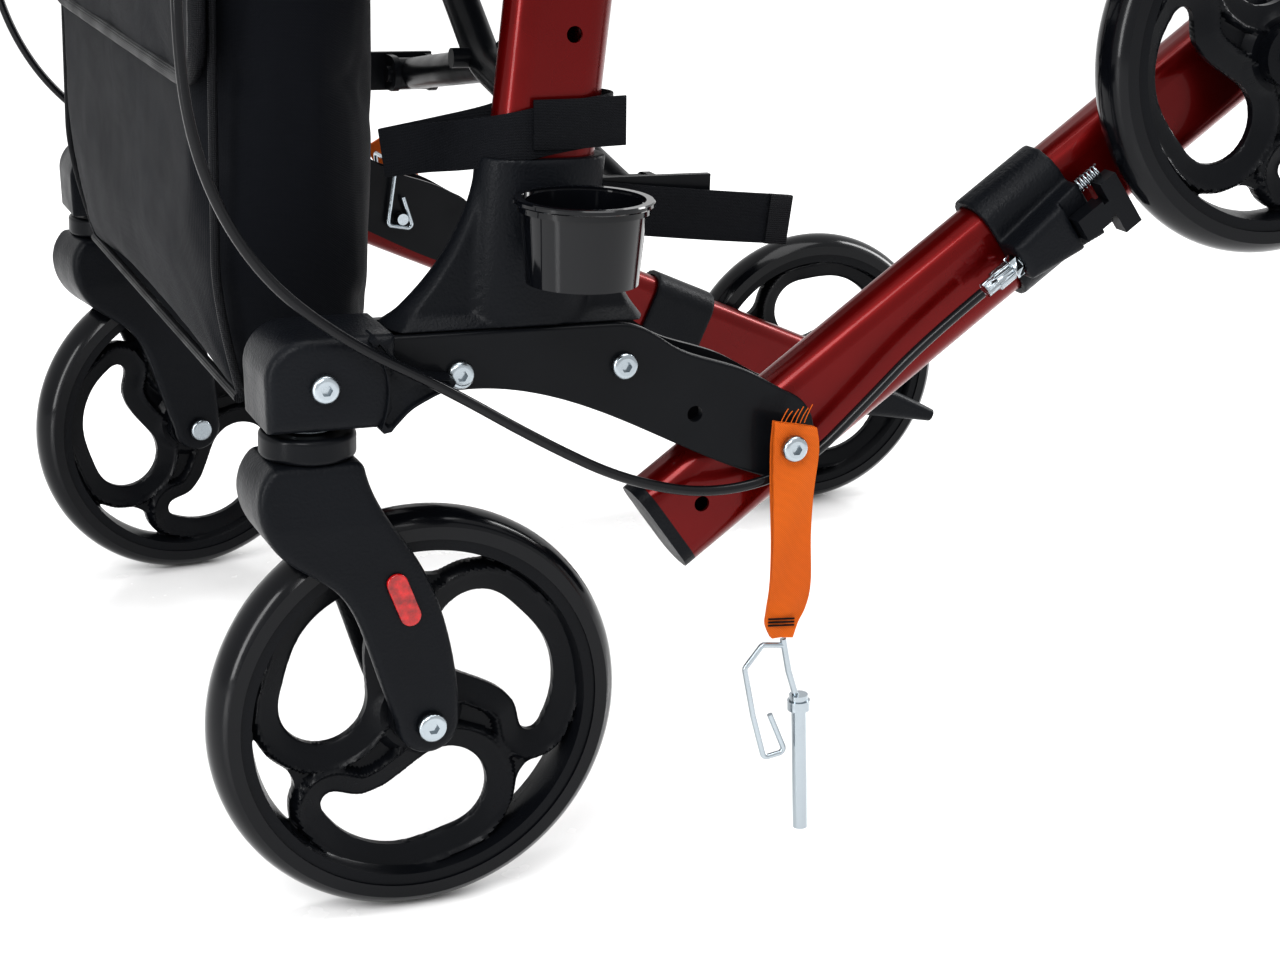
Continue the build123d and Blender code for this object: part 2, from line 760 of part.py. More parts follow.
# ---------------------------------------------------------------- brake cables
cable_radius = 2.5
cable_start = handle_plane(housing_start - 1.5, 4, handle_radius + 6).origin
shared_route = [
    (cable_start.X, cable_start.Y, cable_start.Z),
    (cable_start.X + 1, 158, 842),
    (264, 106, 822),
    (270, 54, 780),
    (276, 8, 722),
    (281, -28, 652),
    (284, -48, 578),
    (286, -58, 504),
    (286, -63, 434),
    (286, -57, 372),
    (285, -32, 322),
    (283, 8, 288),
    (282, 54, 264),
]


def adjuster_end(angle):
    """Where the cable meets its adjuster on the leg."""
    y, z = leg_point(adjuster_along - adjuster_reach, -leg_drop - 2, angle)
    return (adjuster_x, y, z)


left_route = shared_route + [
    (278, 102, 234), (272, 148, 209), (267.5, 196, 197), (267, 240, 206), (267.5, 274, 238),
    (268.5, 302, 266), adjuster_end(leg_raised),
]
right_route = shared_route + [
    (278, 104, 243), (272, 152, 222), (267.5, 202, 206), (267, 252, 199), (268, 300, 188),
    adjuster_end(leg_lowered),
]


def cable(route, label):
    """A cable of straight runs and large tangent arcs along its route."""
    points = [Vector(*p) for p in route]
    radii = []
    for before, here, after in zip(points, points[1:], points[2:]):
        turn = (here - before).get_angle(after - here)
        shorter = min((here - before).length, (after - here).length)
        radii.append(0.45 * shorter / tan(radians(turn / 2)))
    print(label, "radii", [round(r) for r in radii])
    with BuildPart() as made:
        with BuildLine() as path:
            FilletPolyline(*points, radius=radii)
        with BuildSketch(Plane(origin=points[0], z_dir=points[1] - points[0])):
            Circle(cable_radius)
        sweep(path=path.line)
    length = path.wires()[0].length
    print(label, "length", round(length), "volume ratio", made.part.volume / (3.14159 * cable_radius**2 * length))
    return made.part


save(cable(left_route, "left cable"), "left_brake_cable")
save(cable(right_route, "right cable").mirror(Plane.YZ), "right_brake_cable")


# ---------------------------------------------------------------- scissor brace and seat
def brace_bar(y):
    """Brace bar pivoted on the left frame, rising to the right seat rail it carries."""
    with BuildPart() as made:
        with BuildLine() as path:
            FilletPolyline(
                (brace_pivot_x, y, brace_pivot_z), (0, y, brace_hub_z), (-rail_x, y, rail_z), radius=70
            )
        with BuildSketch(Plane(origin=(brace_pivot_x, y, brace_pivot_z), x_dir=(0, 1, 0), z_dir=path.line % 0)):
            Circle(brace_radius)
        sweep(path=path.line)
        with BuildSketch(Plane.XZ.offset(-y - brace_radius)):
            with Locations((brace_pivot_x, brace_pivot_z)):
                Circle(brace_radius)
        extrude(amount=2 * brace_radius)
        with BuildSketch(Plane.XZ.offset(-rail_end)):
            with Locations((-rail_x, rail_z)):
                Circle(rail_radius)
        extrude(amount=rail_end - rail_start)
        with BuildSketch(Plane.XZ.offset(-y - brace_radius - 1)):
            with Locations((brace_pivot_x, brace_pivot_z)):
                Circle(brace_pin_radius + running)
        extrude(amount=2 * brace_radius + 2, mode=Mode.SUBTRACT)
        hub_low = y + brace_radius - 1 if y == front_brace_y else y - brace_radius - 0.9
        with BuildSketch(Plane.XZ.offset(-hub_low - 1.9)):
            with Locations((0, brace_hub_z + 2)):
                Circle(9)
        extrude(amount=1.9)
        nut_low = y - brace_radius - 9 if y == front_brace_y else y + brace_radius - 1
        with BuildSketch(Plane.XZ.offset(-nut_low - 10)):
            with Locations((0, brace_hub_z + 2)):
                Circle(5.5)
        extrude(amount=10)
    return made.part


save(brace_bar(front_brace_y), "front_brace")
save(brace_bar(rear_brace_y).mirror(Plane.YZ), "rear_brace")

with BuildPart() as seat:
    with BuildSketch(Plane.XY.offset(rail_z + rail_radius + loose)):
        with Locations((0, (rail_start + rail_end) / 2)):
            RectangleRounded(2 * (rail_x + rail_radius), rail_end - rail_start - 14, 12)
    extrude(amount=seat_thickness)
save(seat.part, "seat")


# ---------------------------------------------------------------- bag
with BuildPart() as bag:
    with BuildSketch(Plane.XY.offset(bag_bottom)):
        with Locations((0, (bag_front + bag_rear) / 2 + 4)):
            RectangleRounded(2 * bag_half - 12, bag_rear - bag_front - 14, 8)
    with BuildSketch(Plane.XY.offset(bag_bottom + 60)):
        with Locations((0, (bag_front + bag_rear) / 2)):
            RectangleRounded(2 * bag_half, bag_rear - bag_front, 12)
    with BuildSketch(Plane.XY.offset(bag_top)):
        with Locations((0, (bag_front + bag_rear) / 2)):
            RectangleRounded(2 * bag_half, bag_rear - bag_front, 12)
    loft(ruled=True)
    with BuildSketch(Plane.XY.offset(bag_bottom + bag_wall + 60)):
        with Locations((0, (bag_front + bag_rear) / 2)):
            RectangleRounded(2 * (bag_half - bag_wall), bag_rear - bag_front - 2 * bag_wall, 9)
    extrude(amount=bag_top - bag_bottom - 60, mode=Mode.SUBTRACT)
    with BuildSketch(Plane.XY.offset(bag_bottom + bag_wall)):
        with Locations((0, (bag_front + bag_rear) / 2 + 4)):
            RectangleRounded(2 * bag_half - 26, bag_rear - bag_front - 28, 6)
    extrude(amount=62, mode=Mode.SUBTRACT)
    for side in (1, -1):
        lean = radians(upright_lean)
        start = upright_point(-14)
        loop_plane = Plane(
            origin=(side * start.X, start.Y, start.Z), x_dir=(1, 0, 0), z_dir=(0, sin(lean), cos(lean))
        )
        with BuildSketch(loop_plane) as loop:
            SlotOverall(upright_depth + 5, upright_width + 5, rotation=90)
            with Locations((-side * 24, -44)):
                Rectangle(50, 40)
            with Locations((-side * 26, -42)):
                Rectangle(46, 36, mode=Mode.SUBTRACT)
            SlotOverall(upright_depth + 1.2, upright_width + 1.2, rotation=90, mode=Mode.SUBTRACT)
        extrude(amount=20)
save(bag.part, "bag")


# ---------------------------------------------------------------- cup
with BuildPart() as cup:
    with BuildSketch(Plane.XY.offset(cup_bottom)):
        with Locations((cup_x, cup_y)):
            Circle(cup_bottom_radius)
    with BuildSketch(Plane.XY.offset(cup_top)):
        with Locations((cup_x, cup_y)):
            Circle(cup_top_radius - 1.5)
    loft()
    with BuildSketch(Plane.XY.offset(cup_top - 4)):
        with Locations((cup_x, cup_y)):
            Circle(cup_top_radius)
    extrude(amount=4)
    with BuildSketch(side_plane(261.8)):
        with Locations((cup_y, (cup_top + cup_bottom) / 2 + 2)):
            RectangleRounded(26, 26, 4)
    extrude(amount=14)
    with BuildSketch(Plane.XY.offset(cup_bottom + cup_wall)):
        with Locations((cup_x, cup_y)):
            Circle(cup_bottom_radius - cup_wall)
    with BuildSketch(Plane.XY.offset(cup_top)):
        with Locations((cup_x, cup_y)):
            Circle(cup_top_radius - 1.5 - cup_wall)
    loft(mode=Mode.SUBTRACT)
save(cup.part, "cane_cup")


# ---------------------------------------------------------------- pull straps and lock pins
def wire(points, radius, radii):
    """A bent wire along its points."""
    with BuildPart() as made:
        with BuildLine() as path:
            FilletPolyline(*points, radius=radii)
        with BuildSketch(Plane(origin=points[0], z_dir=Vector(*points[1]) - Vector(*points[0]))):
            Circle(radius)
        sweep(path=path.line)
    return made.part


with BuildPart() as left_strap:
    with BuildSketch(side_plane(strap_x - strap_thickness / 2)):
        with BuildLine():
            Polyline(
                (222, 232), (246, 228), (243, 180), (244.5, 150), (238, strap_bottom), (224, strap_bottom + 3),
                (224, 150), (223, 185), close=True,
            )
        make_face()
        with Locations((pivot_y, pivot_z)):
            Circle(bolt_radius + 0.4, mode=Mode.SUBTRACT)
    extrude(amount=strap_thickness)
save(left_strap.part, "left_pull_strap")

pin_top, pin_foot = (strap_x, 243.5, 88.0), (strap_x, 248.5, 18.5)
pin_way = Vector(*pin_foot) - Vector(*pin_top)
with BuildPart() as hanging_pin:
    with BuildSketch(Plane(origin=pin_top, x_dir=(1, 0, 0), z_dir=pin_way)):
        Circle(lock_pin_radius)
    extrude(amount=pin_way.length)
    with BuildSketch(Plane(origin=pin_top, x_dir=(1, 0, 0), z_dir=pin_way)):
        Circle(lock_pin_radius + 2)
    extrude(amount=5)
    with BuildSketch(Plane(origin=pin_top, x_dir=(1, 0, 0), z_dir=pin_way)):
        Circle(lock_pin_radius + 1)
    extrude(amount=-3)
link_wire = wire([(strap_x, 233, 121.5), (strap_x, 237, 104), (strap_x, 244, 84)], 1.6, 6)
bail_wire = wire(
    [
        (strap_x, 234, 118), (strap_x, 222, 119.5), (strap_x, 213, 108), (strap_x, 219, 82),
        (strap_x, 226, 59), (strap_x, 237.5, 61), (strap_x, 228, 82),
    ],
    1.4,
    2.5,
)
save(hanging_pin.part + link_wire + bail_wire, "left_lock_pin")

hole_y, hole_z = leg_point(*lock_hole, leg_lowered)
with BuildPart() as seated_pin:
    with BuildSketch(side_plane(inner_face - 9)):
        with Locations((hole_y, hole_z)):
            Circle(lock_pin_radius)
    extrude(amount=outer_face - inner_face + 9.2)
    with BuildSketch(side_plane(outer_face + 0.1)):
        with Locations((hole_y, hole_z)):
            Circle(lock_pin_radius + 2)
    extrude(amount=5)
over = 272.0
hook_x = inner_face - 5
hooked_bail = wire(
    [
        (outer_face + 3, hole_y, hole_z + 2), (outer_face + 3.5, hole_y - 4, over), (hook_x, hole_y - 4, over),
        (hook_x, hole_y - 9, hole_z - 4), (hook_x, hole_y + 8, hole_z - 7), (hook_x, hole_y + 1, hole_z + 14),
    ],
    1.4,
    2.5,
)
save((seated_pin.part + hooked_bail).mirror(Plane.YZ), "right_lock_pin")

with BuildPart() as right_strap:
    with BuildSketch(side_plane(strap_x - strap_thickness / 2)):
        with BuildLine():
            Polyline(
                (242, 226), (236, 209), (224, 209), (181, 246), (176, 276), (190, 283), (200, 262), close=True
            )
        make_face()
        with Locations((pivot_y, pivot_z)):
            Circle(bolt_radius + 0.4, mode=Mode.SUBTRACT)
        with Locations((hole_y, hole_z)):
            Circle(9, mode=Mode.SUBTRACT)
    extrude(amount=strap_thickness)
save(right_strap.part.mirror(Plane.YZ), "right_pull_strap")
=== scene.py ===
"""Looks of the folding rollator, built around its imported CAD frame. Metres."""

import json
from math import cos, pi, radians, sin

import bpy
import bmesh
from mathutils import Matrix, Vector


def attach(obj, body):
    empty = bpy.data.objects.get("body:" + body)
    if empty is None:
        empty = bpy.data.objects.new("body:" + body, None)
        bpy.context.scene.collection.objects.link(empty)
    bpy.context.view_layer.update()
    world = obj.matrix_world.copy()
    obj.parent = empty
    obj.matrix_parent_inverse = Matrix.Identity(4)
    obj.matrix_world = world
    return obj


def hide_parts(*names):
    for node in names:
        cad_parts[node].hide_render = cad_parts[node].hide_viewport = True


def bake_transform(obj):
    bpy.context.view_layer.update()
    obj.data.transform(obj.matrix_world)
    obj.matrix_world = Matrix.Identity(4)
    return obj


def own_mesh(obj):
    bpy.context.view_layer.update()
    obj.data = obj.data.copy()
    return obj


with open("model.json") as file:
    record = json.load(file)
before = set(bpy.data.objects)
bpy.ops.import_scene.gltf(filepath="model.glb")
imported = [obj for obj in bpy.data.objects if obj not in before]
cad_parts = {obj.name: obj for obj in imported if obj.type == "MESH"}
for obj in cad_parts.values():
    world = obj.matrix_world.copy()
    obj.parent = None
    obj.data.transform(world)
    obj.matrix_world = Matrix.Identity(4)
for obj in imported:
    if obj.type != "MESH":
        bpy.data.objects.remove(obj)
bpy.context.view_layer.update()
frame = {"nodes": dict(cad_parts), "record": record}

SHIFT = Vector((-0.01475, -0.27614, 0.0))  # from the caster-stem line to the part's own origin
BODY_OF = {node: body for body, nodes in frame["record"]["behaviour"]["bodies"].items() for node in nodes}


def at(x, y, z):
    """A point measured from the caster-stem line, in the part's frame."""
    return Vector((x, y, z)) + SHIFT


# ---------------------------------------------------------------- camera, light and floor
def camera():
    yaw, pitch, roll = 0.3965, 0.3011, 0.0367
    way = Vector((-cos(yaw) * cos(pitch), sin(yaw) * cos(pitch), -sin(pitch)))
    right = way.cross(Vector((0, 0, 1))).normalized()
    up = right.cross(way)
    tilted_right = right * cos(roll) + up * sin(roll)
    tilted_up = up * cos(roll) - right * sin(roll)
    data = bpy.data.cameras.new("camera")
    data.sensor_width = 36.0
    data.lens = 68.03
    made = bpy.data.objects.new("camera", data)
    bpy.context.collection.objects.link(made)
    turn = Matrix((tilted_right, tilted_up, -way)).transposed()
    made.matrix_world = Matrix.Translation(at(1.2706, -0.2638, 0.5457)) @ turn.to_4x4()
    bpy.context.scene.camera = made


def area_light(name, place, target, size, watts):
    data = bpy.data.lights.new(name, "AREA")
    data.shape = "RECTANGLE"
    data.size, data.size_y = size
    data.energy = watts
    made = bpy.data.objects.new(name, data)
    made.location = place
    made.rotation_euler = (Vector(target) - Vector(place)).to_track_quat("-Z", "Y").to_euler()
    bpy.context.collection.objects.link(made)


def studio():
    world = bpy.data.worlds.new("studio")
    world.use_nodes = True
    world.node_tree.nodes["Background"].inputs["Color"].default_value = (1.0, 1.0, 1.0, 1.0)
    world.node_tree.nodes["Background"].inputs["Strength"].default_value = 0.92
    bpy.context.scene.world = world
    bpy.context.scene.view_settings.view_transform = "Standard"
    bpy.context.scene.view_settings.look = "Medium High Contrast"
    area_light("key", (2.2, -1.3, 2.4), (0, 0, 0.3), (1.2, 1.2), 42)
    area_light("rim", (-0.6, 2.4, 1.6), (0, 0, 0.3), (0.5, 1.8), 40)
    area_light("front_strip", (1.0, -2.2, 0.9), (0, 0, 0.3), (0.35, 1.6), 20)
    area_light("top", (0.3, 0.3, 2.8), (0, 0, 0.2), (1.6, 1.6), 30)
    mesh = bpy.data.meshes.new("floor")
    reach = 6.0
    corners = [(-reach, -reach, 0), (reach, -reach, 0), (reach, reach, 0), (-reach, reach, 0)]
    mesh.from_pydata(corners, [], [(0, 1, 2, 3)])
    floor = bpy.data.objects.new("floor", mesh)
    bpy.context.collection.objects.link(floor)
    white = (0.93, 0.93, 0.93)
    floor.data.materials.append(
        material("floor_white", white, roughness=0.22, specular=0.35, tint=0.004, grain=(3.0, 0.0))
    )


# ---------------------------------------------------------------- materials
def material(
    name, colour, roughness=0.5, metallic=0.0, coat=0.0, specular=0.5, tint=0.15, tint_scale=9.0,
    grain=(900.0, 0.15), rough_change=0.08, sheen=0.0, weave=None,
):
    """A procedural surface: mottled colour, varied roughness, fine grain or a woven bump, with painted shade
    darkening the weave's grooves.
    """
    made = bpy.data.materials.new(name)
    made.use_nodes = True
    tree = made.node_tree
    shader = tree.nodes["Principled BSDF"]
    shader.inputs["Metallic"].default_value = metallic
    shader.inputs["Coat Weight"].default_value = coat
    shader.inputs["Coat Roughness"].default_value = 0.06
    shader.inputs["Specular IOR Level"].default_value = specular
    shader.inputs["Sheen Weight"].default_value = sheen
    place = tree.nodes.new("ShaderNodeTexCoord")

    def noise(scale, detail=3.0):
        node = tree.nodes.new("ShaderNodeTexNoise")
        node.inputs["Scale"].default_value = scale
        node.inputs["Detail"].default_value = detail
        tree.links.new(place.outputs["Object"], node.inputs["Vector"])
        return node.outputs["Fac"]

    def ramp(source, low, high):
        node = tree.nodes.new("ShaderNodeMapRange")
        node.inputs["From Min"].default_value = 0.3
        node.inputs["From Max"].default_value = 0.7
        node.inputs["To Min"].default_value = low
        node.inputs["To Max"].default_value = high
        tree.links.new(source, node.inputs["Value"])
        return node.outputs["Result"]

    mix = tree.nodes.new("ShaderNodeMix")
    mix.data_type = "RGBA"
    mix.inputs["A"].default_value = (*[max(0.0, c * (1 - tint)) for c in colour], 1)
    mix.inputs["B"].default_value = (*[min(1.0, c * (1 + tint) + tint * 0.004) for c in colour], 1)
    tree.links.new(ramp(noise(tint_scale), 0.0, 1.0), mix.inputs["Factor"])
    colour_out = mix.outputs["Result"]
    worn = ramp(noise(tint_scale * 4.3), roughness - rough_change, roughness + rough_change)
    tree.links.new(worn, shader.inputs["Roughness"])
    bump = tree.nodes.new("ShaderNodeBump")
    bump.inputs["Distance"].default_value = 0.0004
    if weave:
        pitch, strength, diagonal = weave
        waves = []
        for axis in ("X", "Y", "Z"):
            wave = tree.nodes.new("ShaderNodeTexWave")
            wave.bands_direction = "DIAGONAL" if diagonal and axis == "X" else axis
            wave.inputs["Scale"].default_value = 0.5 / pitch
            wave.inputs["Distortion"].default_value = 0.3
            tree.links.new(place.outputs["Object"], wave.inputs["Vector"])
            waves.append(wave.outputs["Fac"])
        first = tree.nodes.new("ShaderNodeMath")
        first.operation = "MAXIMUM"
        tree.links.new(waves[0], first.inputs[0])
        tree.links.new(waves[1], first.inputs[1])
        last = tree.nodes.new("ShaderNodeMath")
        last.operation = "MULTIPLY"
        tree.links.new(first.outputs[0], last.inputs[0])
        tree.links.new(waves[2], last.inputs[1])
        height = last.outputs[0]
        bump.inputs["Strength"].default_value = strength
        # painted shade: the colour is multiplied down where the weave is low, darkening the grooves between
        # threads
        shade = tree.nodes.new("ShaderNodeMix")
        shade.data_type = "RGBA"
        shade.blend_type = "MULTIPLY"
        shade.inputs["Factor"].default_value = 0.5
        tree.links.new(colour_out, shade.inputs["A"])
        tree.links.new(height, shade.inputs["B"])
        colour_out = shade.outputs["Result"]
    else:
        height = noise(grain[0], 2.0)
        bump.inputs["Strength"].default_value = grain[1]
    tree.links.new(height, bump.inputs["Height"])
    if grain[1] or weave:
        tree.links.new(bump.outputs["Normal"], shader.inputs["Normal"])
    tree.links.new(colour_out, shader.inputs["Base Color"])
    return made


MATERIALS = {
    "black_metal": material(
        "satin_black_metal", (0.0040, 0.0046, 0.0060),
        0.36, 0.0, 0.06, grain=(1500, 0.10), specular=0.11,
    ),
    "black_plastic": material(
        "grained_black_nylon", (0.0042, 0.0050, 0.0068),
        0.40, grain=(700, 0.7), specular=0.13,
    ),
    "red_tube": material(
        "candy_red_lacquer", (0.105, 0.0003, 0.0005),
        0.30, 0.6, 0.2, tint=0.14, grain=(60, 0.02), specular=0.2,
    ),
    "steel": material("zinc_plate", (0.36, 0.40, 0.43), 0.22, 1.0, tint=0.12, grain=(500, 0.12)),
    "cable_jacket": material(
        "cable_jacket", (0.0045, 0.0048, 0.006),
        0.25, 0.0, 0.2, grain=(1200, 0.06), specular=0.14,
    ),
    "reflector": material(
        "reflector_red", (0.30, 0.0015, 0.002),
        0.16, 0.0, 0.25, tint=0.5, tint_scale=260, grain=(420, 0.6),
    ),
    "wheel_plastic": material(
        "wheel_nylon", (0.0032, 0.0037, 0.0050),
        0.31, grain=(900, 0.16), coat=0.03, specular=0.11,
    ),
    "tyre": material(
        "tyre_rubber", (0.0026, 0.0030, 0.0042),
        0.17, 0.0, 0.12, grain=(300, 0.03), rough_change=0.05, specular=0.16,
    ),
    "grip_rubber": material("grip_rubber", (0.008, 0.008, 0.009), 0.62, grain=(600, 0.5), specular=0.3),
    "orange_webbing": material(
        "orange_webbing", (1.0, 0.19, 0.012),
        0.66, sheen=0.0, weave=(0.0009, 1.0, True), specular=0.2,
    ),
    "gloss_cup": material(
        "gloss_black_moulding", (0.0022, 0.0026, 0.0038),
        0.10, 0.0, 0.25, grain=(200, 0.015), rough_change=0.03, specular=0.2,
    ),
    "bag_fabric": material(
        "bag_oxford_nylon", (0.0040, 0.0052, 0.0085),
        0.62, weave=(0.0009, 0.75, True), tint=0.10, specular=0.10, rough_change=0.03,
    ),
    "seat_fabric": material(
        "seat_nylon", (0.007, 0.008, 0.011),
        0.6, weave=(0.0012, 0.6, True), specular=0.12,
    ),
    "webbing": material(
        "black_webbing", (0.0065, 0.0075, 0.0105),
        0.58, weave=(0.0011, 1.0, True), specular=0.13,
    ),
    "binding": material(
        "ribbed_binding", (0.0055, 0.0062, 0.0085),
        0.48, weave=(0.0015, 1.0, False), specular=0.16,
    ),
}


def slot_of(node):
    for entry in frame["record"]["subparts"]:
        if entry["node"] == node:
            return entry["material_slot"]
    return None


def dress(obj, look):
    obj.data.materials.clear()
    obj.data.materials.append(MATERIALS[look])


def smooth(obj, angle=35):
    for face in obj.data.polygons:
        face.use_smooth = True
    bpy.context.view_layer.objects.active = obj
    obj.select_set(True)
    bpy.ops.object.shade_smooth_by_angle(angle=radians(angle))
    obj.select_set(False)


def bake(obj):
    """Turns an object's modifiers into its mesh."""
    done = bpy.data.meshes.new_from_object(obj.evaluated_get(bpy.context.evaluated_depsgraph_get()))
    obj.modifiers.clear()
    obj.data = done


def link(name, mesh):
    made = bpy.data.objects.new(name, mesh)
    bpy.context.collection.objects.link(made)
    return made


def from_bmesh(name, shape):
    mesh = bpy.data.meshes.new(name)
    bmesh.ops.recalc_face_normals(shape, faces=shape.faces)
    shape.to_mesh(mesh)
    shape.free()
    return link(name, mesh)


def carry(obj, node, look, body=None):
    """Puts a piece in a CAD node's place: dresses it in the given look, smooths it, gives it the node's body
    and hides the node.
    """
    dress(obj, look)
    smooth(obj)
    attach(obj, body or BODY_OF[node])
    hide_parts(node)


# ---------------------------------------------------------------- moulded pieces with rounded edges
def soften(node, voxel, rounds):
    """A moulded piece: the CAD shape with every edge rounded as a mould leaves it."""
    mesh = frame["nodes"][node].data.copy()
    piece = link(node + "_moulded", mesh)
    remesh = piece.modifiers.new("remesh", "REMESH")
    remesh.mode = "VOXEL"
    remesh.voxel_size = voxel
    relax = piece.modifiers.new("relax", "SMOOTH")
    relax.factor = 0.5
    relax.iterations = rounds
    bake(piece)
    carry(piece, node, slot_of(node))
    return piece


def moulded_pieces():
    for side in ("left", "right"):
        for node, voxel, rounds in (
            ("caster_fork", 0.0013, 7),
            ("caster_housing", 0.0010, 6),
        ):
            soften(f"{side}_{node}", voxel, rounds)


# ---------------------------------------------------------------- wheels
def bean_distance(x, y):
    """Distance from the nearest of the three bean-shaped openings, in millimetres."""
    best = 1e9
    for turn in (0, 120, 240):
        c, s = cos(radians(turn)), sin(radians(turn))
        px, py = x * c + y * s, -x * s + y * c
        for cx, cy, radius in BEAN:
            best = min(best, ((px - cx) ** 2 + (py - cy) ** 2) ** 0.5 - radius)
    return best


def bean_spine():
    line = smooth_line([Vector((43.5, 15.0, 21.5)), Vector((53.0, -8.0, 17.0)), Vector((52.0, -27.0, 11.0)),
                        Vector((43.5, -41.0, 6.0))], 5)
    return [tuple(p) for p in line]


def web_height(x, y):
    """Half-thickness of the wheel centre: dished round each opening, with a rib where dishes meet."""
    r = (x * x + y * y) ** 0.5
    d = bean_distance(x, y)
    height = 2.2 + 3.4 * min(1.0, max(0.0, d) / 9.5) ** 0.8
    height += 2.4 * max(0.0, 1 - abs(d - 11.6) / 1.7)
    if d > 13.3:
        height = 3.0
    if r < 23:
        height = max(height, 7.0 - max(0.0, r - 19) * 1.0)
    if r < 15.5:
        height = 15.5
    if r > 80.0:
        height = max(height, min(12.5, 5.5 + (r - 80.0) * 5.0))
    return height


def wheel_centre_mesh():
    """One-piece moulded centre, drawn flat in millimetres about its axle."""
    radii = [4.05, 6.5, 9, 12, 14.6, 15.4, 15.6, 17, 19, 21, 23, 25] + [25 + 1.25 * k for k in range(1, 44)]
    radii += [79.6, 80.2, 80.9, 81.5, 82.2, 84.5, 87.0]
    radii = sorted(set(radii))
    count = 252
    shape = bmesh.new()
    front, back = [], []
    hole = []
    for r in radii:
        top, low, gone = [], [], []
        for k in range(count):
            angle = 2 * pi * k / count
            x, y = r * cos(angle), r * sin(angle)
            d = bean_distance(x, y)
            if -2.2 < d < 1.1 and r > 16:
                step = 0.4
                gx = (bean_distance(x + step, y) - d) / step
                gy = (bean_distance(x, y + step) - d) / step
                size = max((gx * gx + gy * gy) ** 0.5, 0.3)
                if d < 0.0:
                    x, y = x - gx / size * d, y - gy / size * d
            h = web_height(x, y)
            top.append(shape.verts.new((x, y, h)))
            low.append(shape.verts.new((x, y, -h)))
            gone.append(d)
        front.append(top)
        back.append(low)
        hole.append(gone)
    for i in range(len(radii) - 1):
        for k in range(count):
            j = (k + 1) % count
            cell = (hole[i][k], hole[i][j], hole[i + 1][k], hole[i + 1][j])
            if min(cell) < -2.2 or max(cell) < 0 and sum(cell) < -2.4:
                continue
            mid = (radii[i] + radii[i + 1]) / 2
            if mid > 66 and mid < 79.5 and sum(cell) / 4 > 14.6:
                continue
            shape.faces.new((front[i][k], front[i][j], front[i + 1][j], front[i + 1][k]))
            shape.faces.new((back[i][k], back[i + 1][k], back[i + 1][j], back[i][j]))
    rims = {}
    for edge in [e for e in shape.edges if len(e.link_faces) == 1]:
        for a, b in (edge.verts, reversed(edge.verts)):
            rims.setdefault(a, []).append(b)
    rims = {v: near for v, near in rims.items() if len(near) == 2 and 16 < v.co.xy.length < 85}
    for _ in range(9):
        moved = {v: (v.co.xy * 2 + near[0].co.xy + near[1].co.xy) / 4 for v, near in rims.items()}
        for v, place in moved.items():
            v.co.xy = place
    pair = {}
    for top, low in zip(front, back):
        for a, b in zip(top, low):
            pair[a] = b
    edges = [e for e in shape.edges if len(e.link_faces) == 1]
    for edge in [e for e in edges if e.verts[0] in pair and e.verts[1] in pair]:
        a, b = edge.verts
        shape.faces.new((a, b, pair[b], pair[a]))
    loose = [v for v in shape.verts if not v.link_faces]
    bmesh.ops.delete(shape, geom=loose, context="VERTS")
    bmesh.ops.smooth_vert(shape, verts=[v for v in shape.verts if 27 < v.co.xy.length < 78], factor=0.3,
                          use_axis_x=False, use_axis_y=False, use_axis_z=True)
    bmesh.ops.recalc_face_normals(shape, faces=shape.faces)
    mesh = bpy.data.meshes.new("wheel_centre")
    shape.to_mesh(mesh)
    shape.free()
    return mesh


def wheel_centres():
    drawn = wheel_centre_mesh()
    flat_to_axle = Matrix.Rotation(radians(90), 4, "Y")
    for side, word, spin, swivel in ((1, "left", 0, 0.8), (-1, "right", 35, 9.0)):
        wheel = Matrix.Translation((0, 51.3, 100)) @ flat_to_axle @ Matrix.Rotation(radians(spin), 4, "Z")
        if side < 0:
            wheel = Matrix.Diagonal((-1, 1, 1, 1)) @ wheel
        put = Matrix.Translation((side * 252, 0, 0)) @ Matrix.Rotation(radians(swivel), 4, "Z") @ wheel
        place_wheel(drawn, put, f"{word}_front_rim")
    for side, word, spin, angle in ((1, "left", 20, 36.5), (-1, "right", 75, -22.87)):
        wheel = Matrix.Translation((281, 541, 220.5)) @ flat_to_axle @ Matrix.Rotation(radians(spin), 4, "Z")
        pivot = Matrix.Translation((0, 231, 220.5))
        put = pivot @ Matrix.Rotation(radians(angle), 4, "X") @ pivot.inverted() @ wheel
        if side < 0:
            put = Matrix.Diagonal((-1, 1, 1, 1)) @ put
        place_wheel(drawn, put, f"{word}_rear_rim")


def place_wheel(drawn, put, node):
    mesh = drawn.copy()
    mesh.transform(Matrix.Translation(SHIFT) @ Matrix.Scale(0.001, 4) @ put)
    shape = bmesh.new()
    shape.from_mesh(mesh)
    bmesh.ops.recalc_face_normals(shape, faces=shape.faces)
    shape.to_mesh(mesh)
    shape.free()
    carry(link(f"{node}_moulding", mesh), node, "wheel_plastic")


# ---------------------------------------------------------------- trims on the side frames
def arc_line(points, rounds=8):
    return smooth_line([Vector(p) for p in points], rounds)


